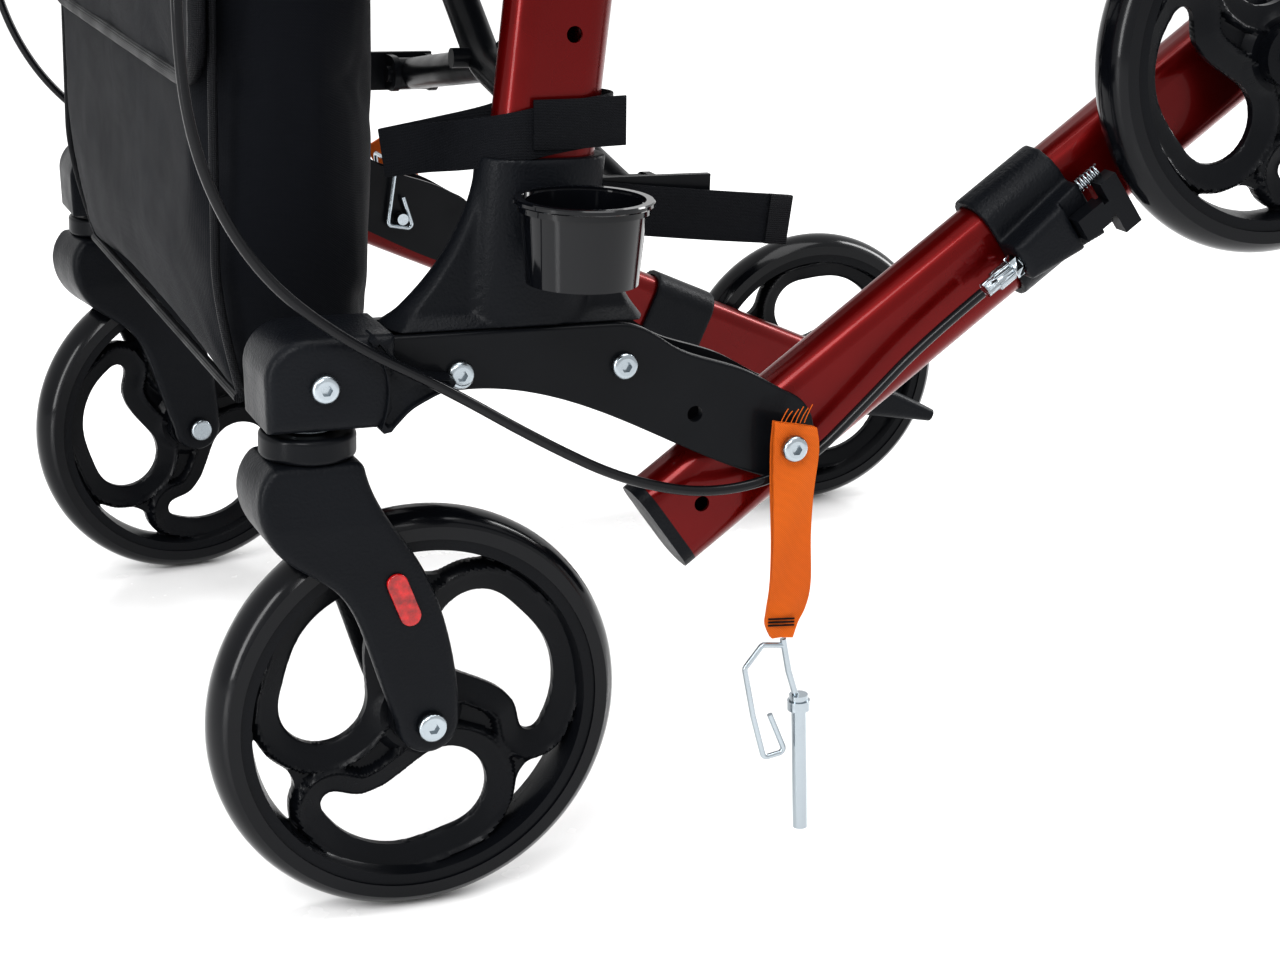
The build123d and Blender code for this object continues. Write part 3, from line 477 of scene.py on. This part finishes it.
def housing_trim(side):
    """The dark three-armed cover that blends the caster housing into the plate."""
    word = "left" if side > 0 else "right"
    top_edge = [(24.5, 287.5, 0), (30.5, 280.5, 0), (39.5, 272.5, 0), (52.0, 267.0, 0), (61.5, 265.6, 0)]
    outer = arc_line(top_edge)
    outer += arc_line([(62.5, 263.6, 0), (61.0, 261.8, 0)], 2)
    outer += arc_line([(52.0, 258.2, 0), (42.0, 253.0, 0), (35.0, 246.5, 0), (31.8, 242.8, 0)])
    outer += arc_line([(29.0, 242.3, 0), (27.2, 244.4, 0)], 2)
    outer += arc_line([(29.4, 253.0, 0), (30.2, 264.0, 0), (27.6, 275.0, 0), (21.8, 285.8, 0)])
    centre = Vector((38.0, 263.5, 0))
    shape = bmesh.new()
    rows = []
    section = ((1.0, 0.2625), (1.0, 0.2748), (0.965, 0.2768), (0.86, 0.2768), (0.80, 0.2745), (0.3, 0.2738))
    for shrink, x in section:
        row = []
        for p in outer:
            q = centre + (p - centre) * shrink
            row.append(shape.verts.new(at(side * x, q.x / 1000, q.y / 1000)))
        rows.append(row)
    count = len(outer)
    for low, high in zip(rows, rows[1:]):
        for k in range(count):
            shape.faces.new((low[k], low[(k + 1) % count], high[(k + 1) % count], high[k]))
    shape.faces.new(rows[-1])
    trim = from_bmesh(f"{word}_housing_trim", shape)
    dress(trim, "black_plastic")
    smooth(trim, 40)
    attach(trim, f"{word}_frame")


def ring_piece(name, centre, inner, outer, height, look, body):
    """A washer or collar standing on Z."""
    shape = bmesh.new()
    rows = []
    bevel = 0.0006
    around = 48
    section = (
        (inner, 0), (outer - bevel, 0), (outer, bevel), (outer, height - bevel), (outer - bevel, height),
        (inner, height),
    )
    turns = [2 * pi * k / around for k in range(around)]
    for radius, z in section:
        places = [centre + Vector((radius * cos(turn), radius * sin(turn), z)) for turn in turns]
        rows.append([shape.verts.new(place) for place in places])
    for low, high in zip(rows, rows[1:] + rows[:1]):
        for k in range(around):
            shape.faces.new((low[k], low[(k + 1) % around], high[(k + 1) % around], high[k]))
    piece = from_bmesh(name, shape)
    dress(piece, look)
    smooth(piece, 40)
    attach(piece, body)


def small_hardware():
    for side, word in ((1, "left"), (-1, "right")):
        caster = f"{word}_caster"
        washer, nut = at(side * 0.252, 0, 0.2412), at(side * 0.252, 0, 0.2430)
        ring_piece(f"{word}_stem_washer", washer, 0.0062, 0.0125, 0.0018, "steel", caster)
        ring_piece(f"{word}_stem_nut_ring", nut, 0.0062, 0.0098, 0.0013, "steel", caster)
    cup_rim = at(0.301, 0.111, 0.3478)
    ring_piece("left_cup_rim", cup_rim, 0.0272, 0.0312, 0.0026, "gloss_cup", "left_frame")


# ---------------------------------------------------------------- soft goods
def ribbon(name, points, width_way, width, thickness, rounds=8):
    """Flat webbing along a smooth line of points; width_way gives its width's direction."""
    line = smooth_line(points, rounds)
    shape = bmesh.new()
    rows = []
    for i, here in enumerate(line):
        along = (line[min(i + 1, len(line) - 1)] - line[max(i - 1, 0)]).normalized()
        across = Vector(width_way).normalized()
        across = (across - along * across.dot(along)).normalized()
        out = along.cross(across)
        row = []
        for u, v in ((-1, -0.7), (-0.96, -1), (-0.5, -1), (0, -1), (0.5, -1), (0.96, -1), (1, -0.7),
                     (1, 0.7), (0.96, 1), (0.5, 1), (0, 1), (-0.5, 1), (-0.96, 1), (-1, 0.7)):
            row.append(shape.verts.new(here + across * (u * width / 2) + out * (v * thickness / 2)))
        rows.append(row)
    count = len(rows[0])
    for low, high in zip(rows, rows[1:]):
        for k in range(count):
            shape.faces.new((low[k], low[(k + 1) % count], high[(k + 1) % count], high[k]))
    shape.faces.new(rows[0])
    shape.faces.new(list(reversed(rows[-1])))
    return from_bmesh(name, shape)


def declare_sheet(line):
    """Works out the length of the line a sheet follows, and does nothing with it."""
    length = sum((b - a).length for a, b in zip(line, line[1:]))


def smooth_line(points, rounds):
    """Catmull-Rom line through the points."""
    full = [points[0]] + list(points) + [points[-1]]
    line = []
    for a, b, c, d in zip(full, full[1:], full[2:], full[3:]):
        for k in range(rounds):
            t = k / rounds
            line.append(0.5 * (2 * b + (c - a) * t + (2 * a - 5 * b + 4 * c - d) * t**2
                               + (3 * b - a - 3 * c + d) * t**3))
    line.append(points[-1].copy())
    return line


def bulge(obj, pressure, frames, most):
    """Lets cloth fill out from inside, with no point moving further than most."""
    before = [v.co.copy() for v in obj.data.vertices]
    cloth = obj.modifiers.new("cloth", "CLOTH")
    cloth.settings.quality = 5
    cloth.settings.use_pressure = True
    cloth.settings.uniform_pressure_force = pressure
    cloth.settings.effector_weights.gravity = 0.0
    cloth.settings.tension_stiffness = 25
    cloth.settings.bending_stiffness = 0.5
    cloth.point_cache.frame_start = 1
    cloth.point_cache.frame_end = frames
    scene = bpy.context.scene
    for number in range(1, frames + 1):
        scene.frame_set(number)
    bake(obj)
    for vertex, start in zip(obj.data.vertices, before):
        move = vertex.co - start
        if move.length > most:
            vertex.co = start + move.normalized() * most
    scene.frame_set(1)


BAG_HALF, BAG_FRONT, BAG_REAR = 0.203, -0.031, 0.050
BAG_BOTTOM, BAG_TOP = 0.237, 0.470


def bag_ring(z, count=168):
    """Outline of the bag at one height, narrower towards its tapered bottom."""
    low = max(0.0, (0.297 - z) / 0.060)
    half = BAG_HALF - 0.006 - 0.006 * low
    front, rear = BAG_FRONT + 0.003 + 0.011 * low, BAG_REAR - 0.003 - 0.003 * low
    corner = 0.009
    ring = []
    centres = (
        (half - corner, rear - corner, 0), (-half + corner, rear - corner, 90),
        (-half + corner, front + corner, 180), (half - corner, front + corner, 270),
    )
    corners = []
    for x, y, turn in centres:
        for k in range(7):
            angle = radians(turn + 15 * k)
            corners.append(Vector((x + corner * cos(angle), y + corner * sin(angle), z)))
    spans = []
    total = 0.0
    for a, b in zip(corners, corners[1:] + corners[:1]):
        spans.append((total, a, b))
        total += (b - a).length
    for k in range(count):
        mark = total * k / count
        start, a, b = [s for s in spans if s[0] <= mark + 1e-9][-1]
        ring.append(a.lerp(b, (mark - start) / max((b - a).length, 1e-9)))
    return ring


def bag_body():
    shape = bmesh.new()
    levels = 34
    rows = []
    for i in range(levels + 1):
        z = BAG_BOTTOM + 0.002 + (BAG_TOP - BAG_BOTTOM - 0.002) * i / levels
        rows.append([shape.verts.new(p + SHIFT) for p in bag_ring(z)])
    count = len(rows[0])
    for low, high in zip(rows, rows[1:]):
        for k in range(count):
            shape.faces.new((low[k], low[(k + 1) % count], high[(k + 1) % count], high[k]))
    shape.faces.new(list(reversed(rows[0])))
    shape.faces.new(rows[-1])
    bag = from_bmesh("bag_body", shape)
    remesh = bag.modifiers.new("remesh", "REMESH")
    remesh.mode = "VOXEL"
    remesh.voxel_size = 0.0055
    bake(bag)
    bulge(bag, 1.6, 14, 0.006)
    for vertex in bag.data.vertices:
        local = vertex.co - SHIFT
        depth = min(1.0, max(0.0, 1 - abs(local.x) / BAG_HALF))
        fold = sin(local.z * 46 + local.x * 9) * sin(local.x * 31 + 1.3)
        if local.y < 0:
            vertex.co.y += 0.0011 * fold * depth
        side = max(0.0, abs(local.x) - BAG_HALF + 0.02) / 0.02
        vertex.co.x -= (1 if local.x > 0 else -1) * 0.0012 * side * (1 + sin(local.z * 60 + local.y * 40)) / 2
    finer = bag.modifiers.new("finer", "SUBSURF")
    finer.levels = 1
    finer.render_levels = 1
    bake(bag)
    carry(bag, "bag", "bag_fabric")
    return [bag]


def tube_along(name, points, radius, sides=3):
    """A round cord of cloth or rubber along points."""
    data = bpy.data.curves.new(name, "CURVE")
    data.dimensions = "3D"
    data.bevel_depth = radius
    data.bevel_resolution = sides
    data.resolution_u = 10
    spline = data.splines.new("NURBS")
    spline.points.add(len(points) - 1)
    for point, co in zip(spline.points, points):
        point.co = (*co, 1)
    spline.order_u = 3
    spline.use_endpoint_u = True
    data.use_fill_caps = True
    made = link(name, data)
    mesh = bpy.data.meshes.new_from_object(made.evaluated_get(bpy.context.evaluated_depsgraph_get()))
    bpy.data.objects.remove(made)
    piece = link(name, mesh)
    return piece


def bag_trim():
    """Piping round the bag's lower front edges and down its corners, a flap and its binding."""
    pieces = []
    for side in (1, -1):
        x = side * (BAG_HALF - 0.0045)
        line = [at(x, BAG_FRONT + 0.0025, z) for z in (0.468, 0.42, 0.37, 0.32, 0.298)]
        line.append(at(x - side * 0.004, BAG_FRONT + 0.008, 0.268))
        line.append(at(x - side * 0.010, BAG_FRONT + 0.016, 0.240))
        pieces.append(tube_along(f"bag_piping_{'left' if side > 0 else 'right'}", line, 0.0022))
    low = [at(x, BAG_FRONT + 0.0145, 0.2395) for x in (0.190, 0.1, 0.0, -0.1, -0.190)]
    pieces.append(tube_along("bag_piping_low", low, 0.0026))
    for piece in pieces:
        dress(piece, "binding")
    path = [
        (-0.0345, 0.386), (-0.0362, 0.41), (-0.0362, 0.44), (-0.0352, 0.462), (-0.030, 0.474),
        (-0.012, 0.4775), (0.02, 0.478), (0.045, 0.4765), (0.0545, 0.470), (0.0560, 0.452),
    ]
    rows = smooth_line([Vector((0, y, z)) for y, z in path], 6)
    lengths = [0.0]
    for a, b in zip(rows, rows[1:]):
        lengths.append(lengths[-1] + (b - a).length)
    corner = 0.030
    half = BAG_HALF + 0.001
    shape = bmesh.new()
    grid = []
    columns = 48
    edge_left, edge_right = [], []
    for row, mark in zip(rows, lengths):
        inset = 0.0
        if mark < corner:
            inset = corner - (corner**2 - (corner - mark) ** 2) ** 0.5
        reach = half - inset
        line = []
        for k in range(columns + 1):
            x = reach * (2 * k / columns - 1)
            wave = 0.0012 * sin(x * 23 + mark * 30) * (1 if row.y < 0 else 0)
            line.append(shape.verts.new(at(x, row.y - abs(wave), row.z)))
        grid.append(line)
        edge_left.append(at(-reach, row.y, row.z))
        edge_right.append(at(reach, row.y, row.z))
    for low_row, high_row in zip(grid, grid[1:]):
        for k in range(columns):
            shape.faces.new((low_row[k], low_row[k + 1], high_row[k + 1], high_row[k]))
    flap = from_bmesh("bag_flap", shape)
    thick = flap.modifiers.new("thick", "SOLIDIFY")
    thick.thickness = 0.0024
    thick.offset = 0
    bake(flap)
    dress(flap, "bag_fabric")
    bottom = [at(x, -0.0352, 0.3862) for x in (-0.13, -0.06, 0.0, 0.06, 0.13)]
    outline = list(reversed(edge_left[::3])) + bottom + edge_right[::3]
    binding = tube_along("bag_flap_binding", outline, 0.0042)
    dress(binding, "binding")
    declare_sheet(rows)
    pieces += [flap, binding]
    for piece in pieces:
        smooth(piece, 50)
    return pieces


def bag_straps():
    """Webbing that loops round each upright, and the loose tail behind the left socket."""
    lean = (0, sin(radians(5.3)), cos(radians(5.3)))
    for side, word in ((1, "left"), (-1, "right")):
        loop = [
            (0.197, 0.0505, 0.354), (0.212, 0.066, 0.3585), (0.236, 0.0765, 0.3635), (0.2555, 0.092, 0.3690),
            (0.2585, 0.112, 0.3735), (0.2572, 0.134, 0.3765), (0.2480, 0.1425, 0.3765),
            (0.2380, 0.1425, 0.3765),
            (0.2285, 0.134, 0.3760), (0.2272, 0.112, 0.3755), (0.2270, 0.094, 0.3690),
            (0.2140, 0.074, 0.3620), (0.1950, 0.0525, 0.3540),
        ]
        band = ribbon(f"bag_loop_{word}", [at(side * x, y, z) for x, y, z in loop], lean, 0.0225, 0.0016)
        end = [
            (0.2594, 0.102, 0.3755), (0.2600, 0.122, 0.3758), (0.2590, 0.136, 0.3762),
            (0.2585, 0.1465, 0.3765),
        ]
        tab = ribbon(f"bag_loop_end_{word}", [at(side * x, y, z) for x, y, z in end], lean, 0.0225, 0.0014)
        for piece in (band, tab):
            dress(piece, "webbing")
            smooth(piece, 50)
            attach(piece, f"{word}_frame")
        round_line = smooth_line([at(side * x, y, z) for x, y, z in loop], 8)
        end_line = smooth_line([at(side * x, y, z) for x, y, z in end], 8)
        declare_sheet(round_line)
        declare_sheet(end_line)
    tail = [
        (0.2235, 0.112, 0.3345), (0.2238, 0.130, 0.3325), (0.2250, 0.148, 0.3305), (0.2272, 0.170, 0.3282),
        (0.2302, 0.205, 0.3250), (0.2300, 0.2435, 0.3215),
    ]
    loose = ribbon("bag_tail_strap", [at(*p) for p in tail], (0, 0.08, 1), 0.0240, 0.0018)
    dress(loose, "webbing")
    smooth(loose, 50)
    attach(loose, "left_frame")
    hem_line = [at(0.2312, y, z) for y, z in ((0.2325, 0.3226), (0.2385, 0.3220), (0.2440, 0.3214))]
    hem = ribbon("bag_tail_hem", hem_line, (0, 0.08, 1), 0.0242, 0.0030)
    dress(hem, "binding")
    smooth(hem, 50)
    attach(hem, "left_frame")
    tail_line = smooth_line([at(*p) for p in tail], 8)
    declare_sheet(tail_line)


def bag():
    for piece in bag_body() + bag_trim():
        if piece.name != "bag_body":
            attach(piece, "left_frame")
        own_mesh(piece)
    bag_straps()


def seat():
    """Sling seat: two halves, each going with the brace that carries its rail."""
    rail_x, rail_z, radius = 0.205, 0.508, 0.0135
    front, rear = 0.135, 0.365
    for side, body, word in ((1, "rear_brace", "left"), (-1, "front_brace", "right")):
        shape = bmesh.new()
        grid = []
        marks = [("sag", k / 22) for k in range(23)] + [("wrap", k / 10) for k in range(1, 11)]
        for kind, t in marks:
            line = []
            for j in range(25):
                v = j / 24
                y = front + (rear - front) * v
                if kind == "sag":
                    x = rail_x * t
                    z = rail_z + radius + 0.0006 - 0.011 * (1 - t**2) * (0.55 + 0.45 * sin(pi * v))
                else:
                    angle = radians(90 - 150 * t)
                    x = rail_x + radius * cos(angle)
                    z = rail_z + (radius + 0.0006) * sin(angle)
                line.append(shape.verts.new(at(side * x, y, z)))
            grid.append(line)
        for a, b in zip(grid, grid[1:]):
            for j in range(24):
                shape.faces.new((a[j], a[j + 1], b[j + 1], b[j]))
        middle = [row[12].co.copy() for row in grid]
        half = from_bmesh(f"seat_sling_{word}", shape)
        thick = half.modifiers.new("thick", "SOLIDIFY")
        thick.thickness = 0.0022
        thick.offset = 0
        bake(half)
        dress(half, "seat_fabric")
        smooth(half, 50)
        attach(half, body)
        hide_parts("seat")
        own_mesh(half)
        edges = []
        for y in (front + 0.002, rear - 0.002):
            edge_z = rail_z + radius + 0.002
            line = [at(side * rail_x * t, y, edge_z - 0.006 * (1 - t**2)) for t in (0, 0.25, 0.5, 0.75, 1)]
            edges.append(tube_along(f"seat_edge_{word}_{'front' if y < 0.2 else 'rear'}", line, 0.0024))
        for piece in edges:
            dress(piece, "binding")
            smooth(piece, 50)
            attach(piece, body)
            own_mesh(piece)
        declare_sheet(middle)


def orange_straps():
    """The folded orange pull straps, with a stitched bar and frayed ends."""
    front_edge = [
        (0.2215, 0.2335), (0.2212, 0.222), (0.2225, 0.200), (0.2240, 0.175), (0.2245, 0.150), (0.2235, 0.137),
        (0.2228, 0.130), (0.2262, 0.1230),
    ]
    rear_edge = [
        (0.2440, 0.2290), (0.2452, 0.218), (0.2440, 0.198), (0.2440, 0.175), (0.2455, 0.150), (0.2440, 0.137),
        (0.2400, 0.129), (0.2372, 0.1225),
    ]
    for layer, x, wave in ((0, 0.2742, 0.0010), (1, 0.2721, -0.0004)):
        lefts = smooth_line([at(x, *p) for p in front_edge], 7)
        rights = smooth_line([at(x, *p) for p in rear_edge], 7)
        shape = bmesh.new()
        grid = []
        for i, (a, b) in enumerate(zip(lefts, rights)):
            line = []
            for k in range(11):
                t = k / 10
                point = a.lerp(b, t)
                point.x += wave * sin(i * 0.13) + 0.0005 * sin(i * 0.31 + k * 0.6)
                line.append(shape.verts.new(point))
            grid.append(line)
        for a, b in zip(grid, grid[1:]):
            for k in range(10):
                shape.faces.new((a[k], a[k + 1], b[k + 1], b[k]))
        strap = from_bmesh(f"pull_strap_layer_{layer}", shape)
        thick = strap.modifiers.new("thick", "SOLIDIFY")
        thick.thickness = 0.0013
        thick.offset = 0
        bake(strap)
        carry(strap, "left_pull_strap", "orange_webbing")
        middle = [a.lerp(b, 0.5) for a, b in zip(lefts, rights)]
        declare_sheet(middle)
    frayed = (
        (0.2245, 0.0075), (0.2268, 0.0050), (0.2300, 0.0062), (0.2325, 0.0085), (0.2350, 0.0068),
        (0.2372, 0.0100),
    )
    for number, (start, rise) in enumerate(frayed):
        thread = [at(0.2745, start, 0.232), at(0.2750, start + 0.001, 0.236)]
        thread.append(at(0.2752, start + 0.0035, 0.236 + rise * 0.5))
        piece = tube_along(f"pull_strap_thread_{number}", thread, 0.00028, sides=1)
        dress(piece, "orange_webbing")
        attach(piece, "left_strap")
    for number, z in enumerate((0.1335, 0.1318, 0.1301)):
        stitch = [at(0.2752, 0.2235 + 0.0028 * k, z - 0.0002 * k) for k in range(6)]
        piece = tube_along(f"pull_strap_stitch_{number}", stitch, 0.00045, sides=1)
        dress(piece, "webbing")
        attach(piece, "left_strap")
    path = [
        (0.2345, 0.2185), (0.2255, 0.2285), (0.2140, 0.2400), (0.2010, 0.2560), (0.1900, 0.2700),
        (0.1845, 0.2790),
    ]
    far = ribbon("right_pull_webbing", [at(-0.2735, y, z) for y, z in path], (0, 0.75, 0.66), 0.0180, 0.0022)
    carry(far, "right_pull_strap", "orange_webbing")
    far_line = smooth_line([at(-0.2735, y, z) for y, z in path], 8)
    declare_sheet(far_line)


# ---------------------------------------------------------------- cables and springs
SHARED_ROUTE = [
    (0.2610, 0.1953, 0.8450), (0.2610, 0.158, 0.842), (0.264, 0.106, 0.822), (0.270, 0.054, 0.780),
    (0.276, 0.008, 0.722), (0.281, -0.028, 0.652), (0.284, -0.048, 0.578), (0.286, -0.058, 0.504),
    (0.286, -0.063, 0.434), (0.286, -0.057, 0.372), (0.285, -0.032, 0.322), (0.283, 0.008, 0.288),
    (0.282, 0.054, 0.264),
]
LEFT_ROUTE = SHARED_ROUTE + [
    (0.278, 0.102, 0.234), (0.272, 0.148, 0.209), (0.2675, 0.196, 0.197), (0.267, 0.240, 0.206),
    (0.2675, 0.274, 0.238), (0.2685, 0.302, 0.266), (0.2695, 0.3324, 0.2893),
]
RIGHT_ROUTE = SHARED_ROUTE + [
    (0.278, 0.104, 0.243), (0.272, 0.152, 0.222), (0.2675, 0.202, 0.206), (0.267, 0.252, 0.199),
    (0.268, 0.300, 0.188), (0.2695, 0.3417, 0.1700),
]
CABLE_RADIUS = 0.0025
CABLE_SPLIT = 0.50


def brake_cables():
    """Each cable cut in two stretches at a set height; only the right cable's lower stretch is attached, to
    the right frame.
    """
    for side, word, route in ((1, "left", LEFT_ROUTE), (-1, "right", RIGHT_ROUTE)):
        points = [at(side * x, y, z) for x, y, z in route]
        whole = tube_along(f"{word}_cable", points, CABLE_RADIUS, sides=5)
        dress(whole, "cable_jacket")
        smooth(whole, 60)
        upper = link(f"{word}_cable_upper", whole.data.copy())
        for piece, keep_high in ((whole, False), (upper, True)):
            shape = bmesh.new()
            shape.from_mesh(piece.data)
            doomed = [f for f in shape.faces if (f.calc_center_median().z > CABLE_SPLIT) != keep_high]
            bmesh.ops.delete(shape, geom=doomed, context="FACES")
            shape.to_mesh(piece.data)
            shape.free()
            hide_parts(f"{word}_brake_cable")
        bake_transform(upper)
        if word == "left":
            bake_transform(whole)
        else:
            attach(whole, "right_frame")


def leg_frame(side, along, up, across):
    """A point on the rear leg given along, above and outboard of the leg's axis."""
    angle = radians(36.5 if side > 0 else -22.87)
    y = 0.231 + along * cos(angle) - up * sin(angle)
    z = 0.2205 + along * sin(angle) + up * cos(angle)
    return at(side * (0.243 + across), y, z)


def return_springs():
    for side, body in ((1, "left_leg"), (-1, "right_frame")):
        turns, steps, coil_radius = 6, 14, 0.0032
        line = []
        for k in range(turns * steps + 1):
            angle = 2 * pi * k / steps
            along = 0.1905 + 0.0135 * k / (turns * steps)
            up, across = 0.008 + coil_radius * cos(angle), 0.029 + coil_radius * sin(angle)
            line.append(leg_frame(side, along, up, across))
        coil = tube_along(f"{'left' if side > 0 else 'right'}_return_spring", line, 0.0005, sides=2)
        dress(coil, "steel")
        smooth(coil, 60)
        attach(coil, body)


# ---------------------------------------------------------------- sockets, sleeves, grips
def socket_shell(side):
    """The moulded socket: an oval sleeve with thin concave fins in front and behind."""
    word = "left" if side > 0 else "right"
    shape = bmesh.new()
    rows = []
    levels, half_steps = 40, 44
    for i in range(levels + 1):
        t = i / levels
        z = 0.2832 + (0.3600 - 0.2832) * t
        lean = (z - 0.380) * sin(radians(5.3))
        middle = 0.1135 + lean
        front = middle - 0.0305 - 0.0385 * (1 - t) ** 2.2
        rear = middle + 0.0305 + 0.0275 * (1 - t) ** 2.6
        foot = max(0.0, 1 - t / 0.09)
        ring = []
        for face in (1, -1):
            for k in range(half_steps + (1 if face > 0 else -1)):
                u = k / half_steps if face > 0 else 1 - (k + 1) / half_steps
                y = front + (rear - front) * (1 - cos(pi * u)) / 2
                reach = (y - middle) / 0.0305
                oval = 0.0178 * max(0.0, 1 - abs(reach) ** 3.2) ** 0.5 if abs(reach) < 1 else 0.0
                span = (y - front) * (rear - y) / ((rear - front) / 2) ** 2
                fin = (0.0062 + 0.0050 * (1 - t) ** 3 + 0.006 * foot) * min(1.0, max(0.0, span) * 6) ** 0.5
                ring.append(shape.verts.new(at(side * 0.243 + face * max(oval, fin, 0.0), y, z)))
        rows.append(ring)
    count = len(rows[0])
    for low, high in zip(rows, rows[1:]):
        for k in range(count):
            shape.faces.new((low[k], low[(k + 1) % count], high[(k + 1) % count], high[k]))
    shape.faces.new(list(reversed(rows[0])))
    shape.faces.new(rows[-1])
    bmesh.ops.remove_doubles(shape, verts=shape.verts, dist=0.00005)
    shell = from_bmesh(f"{word}_socket_shell", shape)
    remesh = shell.modifiers.new("remesh", "REMESH")
    remesh.mode = "VOXEL"
    remesh.voxel_size = 0.0011
    relax = shell.modifiers.new("relax", "SMOOTH")
    relax.iterations = 6
    bake(shell)
    carry(shell, f"{word}_upright_socket", "black_plastic")


def brake_sleeves():
    """The sleeve's rounded moulding and, apart from it, the steel adjuster screwed into it."""
    for word in ("left", "right"):
        node = f"{word}_brake_sleeve"
        whole = link(f"{word}_sleeve", frame["nodes"][node].data.copy())
        bpy.context.view_layer.objects.active = whole
        whole.select_set(True)
        bpy.ops.object.mode_set(mode="EDIT")
        bpy.ops.mesh.select_all(action="SELECT")
        bpy.ops.mesh.remove_doubles(threshold=0.000001)
        bpy.ops.mesh.separate(type="LOOSE")
        bpy.ops.object.mode_set(mode="OBJECT")
        parts = list(bpy.context.selected_objects)
        bpy.ops.object.select_all(action="DESELECT")
        parts.sort(key=lambda o: max(o.dimensions))
        moulding = parts[-1]
        moulding.name = f"{word}_sleeve_moulding"
        remesh = moulding.modifiers.new("remesh", "REMESH")
        remesh.mode = "VOXEL"
        remesh.voxel_size = 0.0010
        relax = moulding.modifiers.new("relax", "SMOOTH")
        relax.iterations = 8
        bake(moulding)
        carry(moulding, node, "black_plastic")
        for number, screw in enumerate(parts[:-1]):
            screw.name = f"{word}_cable_adjuster_{number}"
            carry(screw, node, "steel")


def hand_grips():
    """Moulded grips with finger grooves and a flared end."""
    rise = radians(4.6)
    way = Vector((0, cos(rise), sin(rise)))
    up = Vector((0, -sin(rise), cos(rise)))
    bend = Vector((0.243, 0.1135 + 0.470 * sin(radians(5.3)), 0.380 + 0.470 * cos(radians(5.3))))
    for side, word in ((1, "left"), (-1, "right")):
        shape = bmesh.new()
        rows = []
        start, length, steps = 0.060, 0.1178, 90
        profile = [(0.0, 0.0112)]
        for k in range(steps + 1):
            t = k / steps
            radius = 0.0157 + 0.0008 * cos(2 * pi * 4 * t) + 0.0007 * (t > 0.94)
            radius -= 0.0045 * max(0.0, (t - 0.97) / 0.03) ** 2
            radius -= 0.0025 * max(0.0, (0.02 - t) / 0.02) ** 2
            profile.append((length * t, radius))
        profile.append((length, 0.002))
        for along, radius in profile:
            ring = []
            for k in range(40):
                angle = 2 * pi * k / 40
                oval = 1 + 0.03 * cos(2 * angle)
                reach = radius * oval
                point = bend + way * (start + along)
                point += Vector((1, 0, 0)) * reach * cos(angle) + up * reach * sin(angle)
                point.x *= side
                ring.append(shape.verts.new(point + SHIFT))
            rows.append(ring)
        for low, high in zip(rows, rows[1:]):
            for k in range(40):
                shape.faces.new((low[k], low[(k + 1) % 40], high[(k + 1) % 40], high[k]))
        shape.faces.new(rows[-1])
        grip = from_bmesh(f"{word}_grip_moulding", shape)
        carry(grip, f"{word}_hand_grip", "grip_rubber")


# ---------------------------------------------------------------- run
camera()
studio()
for node, obj in frame["nodes"].items():
    dress(obj, slot_of(node))
    smooth(obj, 30)
for side in ("left", "right"):
    dress(frame["nodes"][f"{side}_brake_block"], "black_metal")
moulded_pieces()
BEAN = bean_spine()
wheel_centres()
for side in (1, -1):
    housing_trim(side)
small_hardware()
bag()
seat()
orange_straps()
brake_cables()
return_springs()
for side in (1, -1):
    socket_shell(side)
brake_sleeves()
hand_grips()
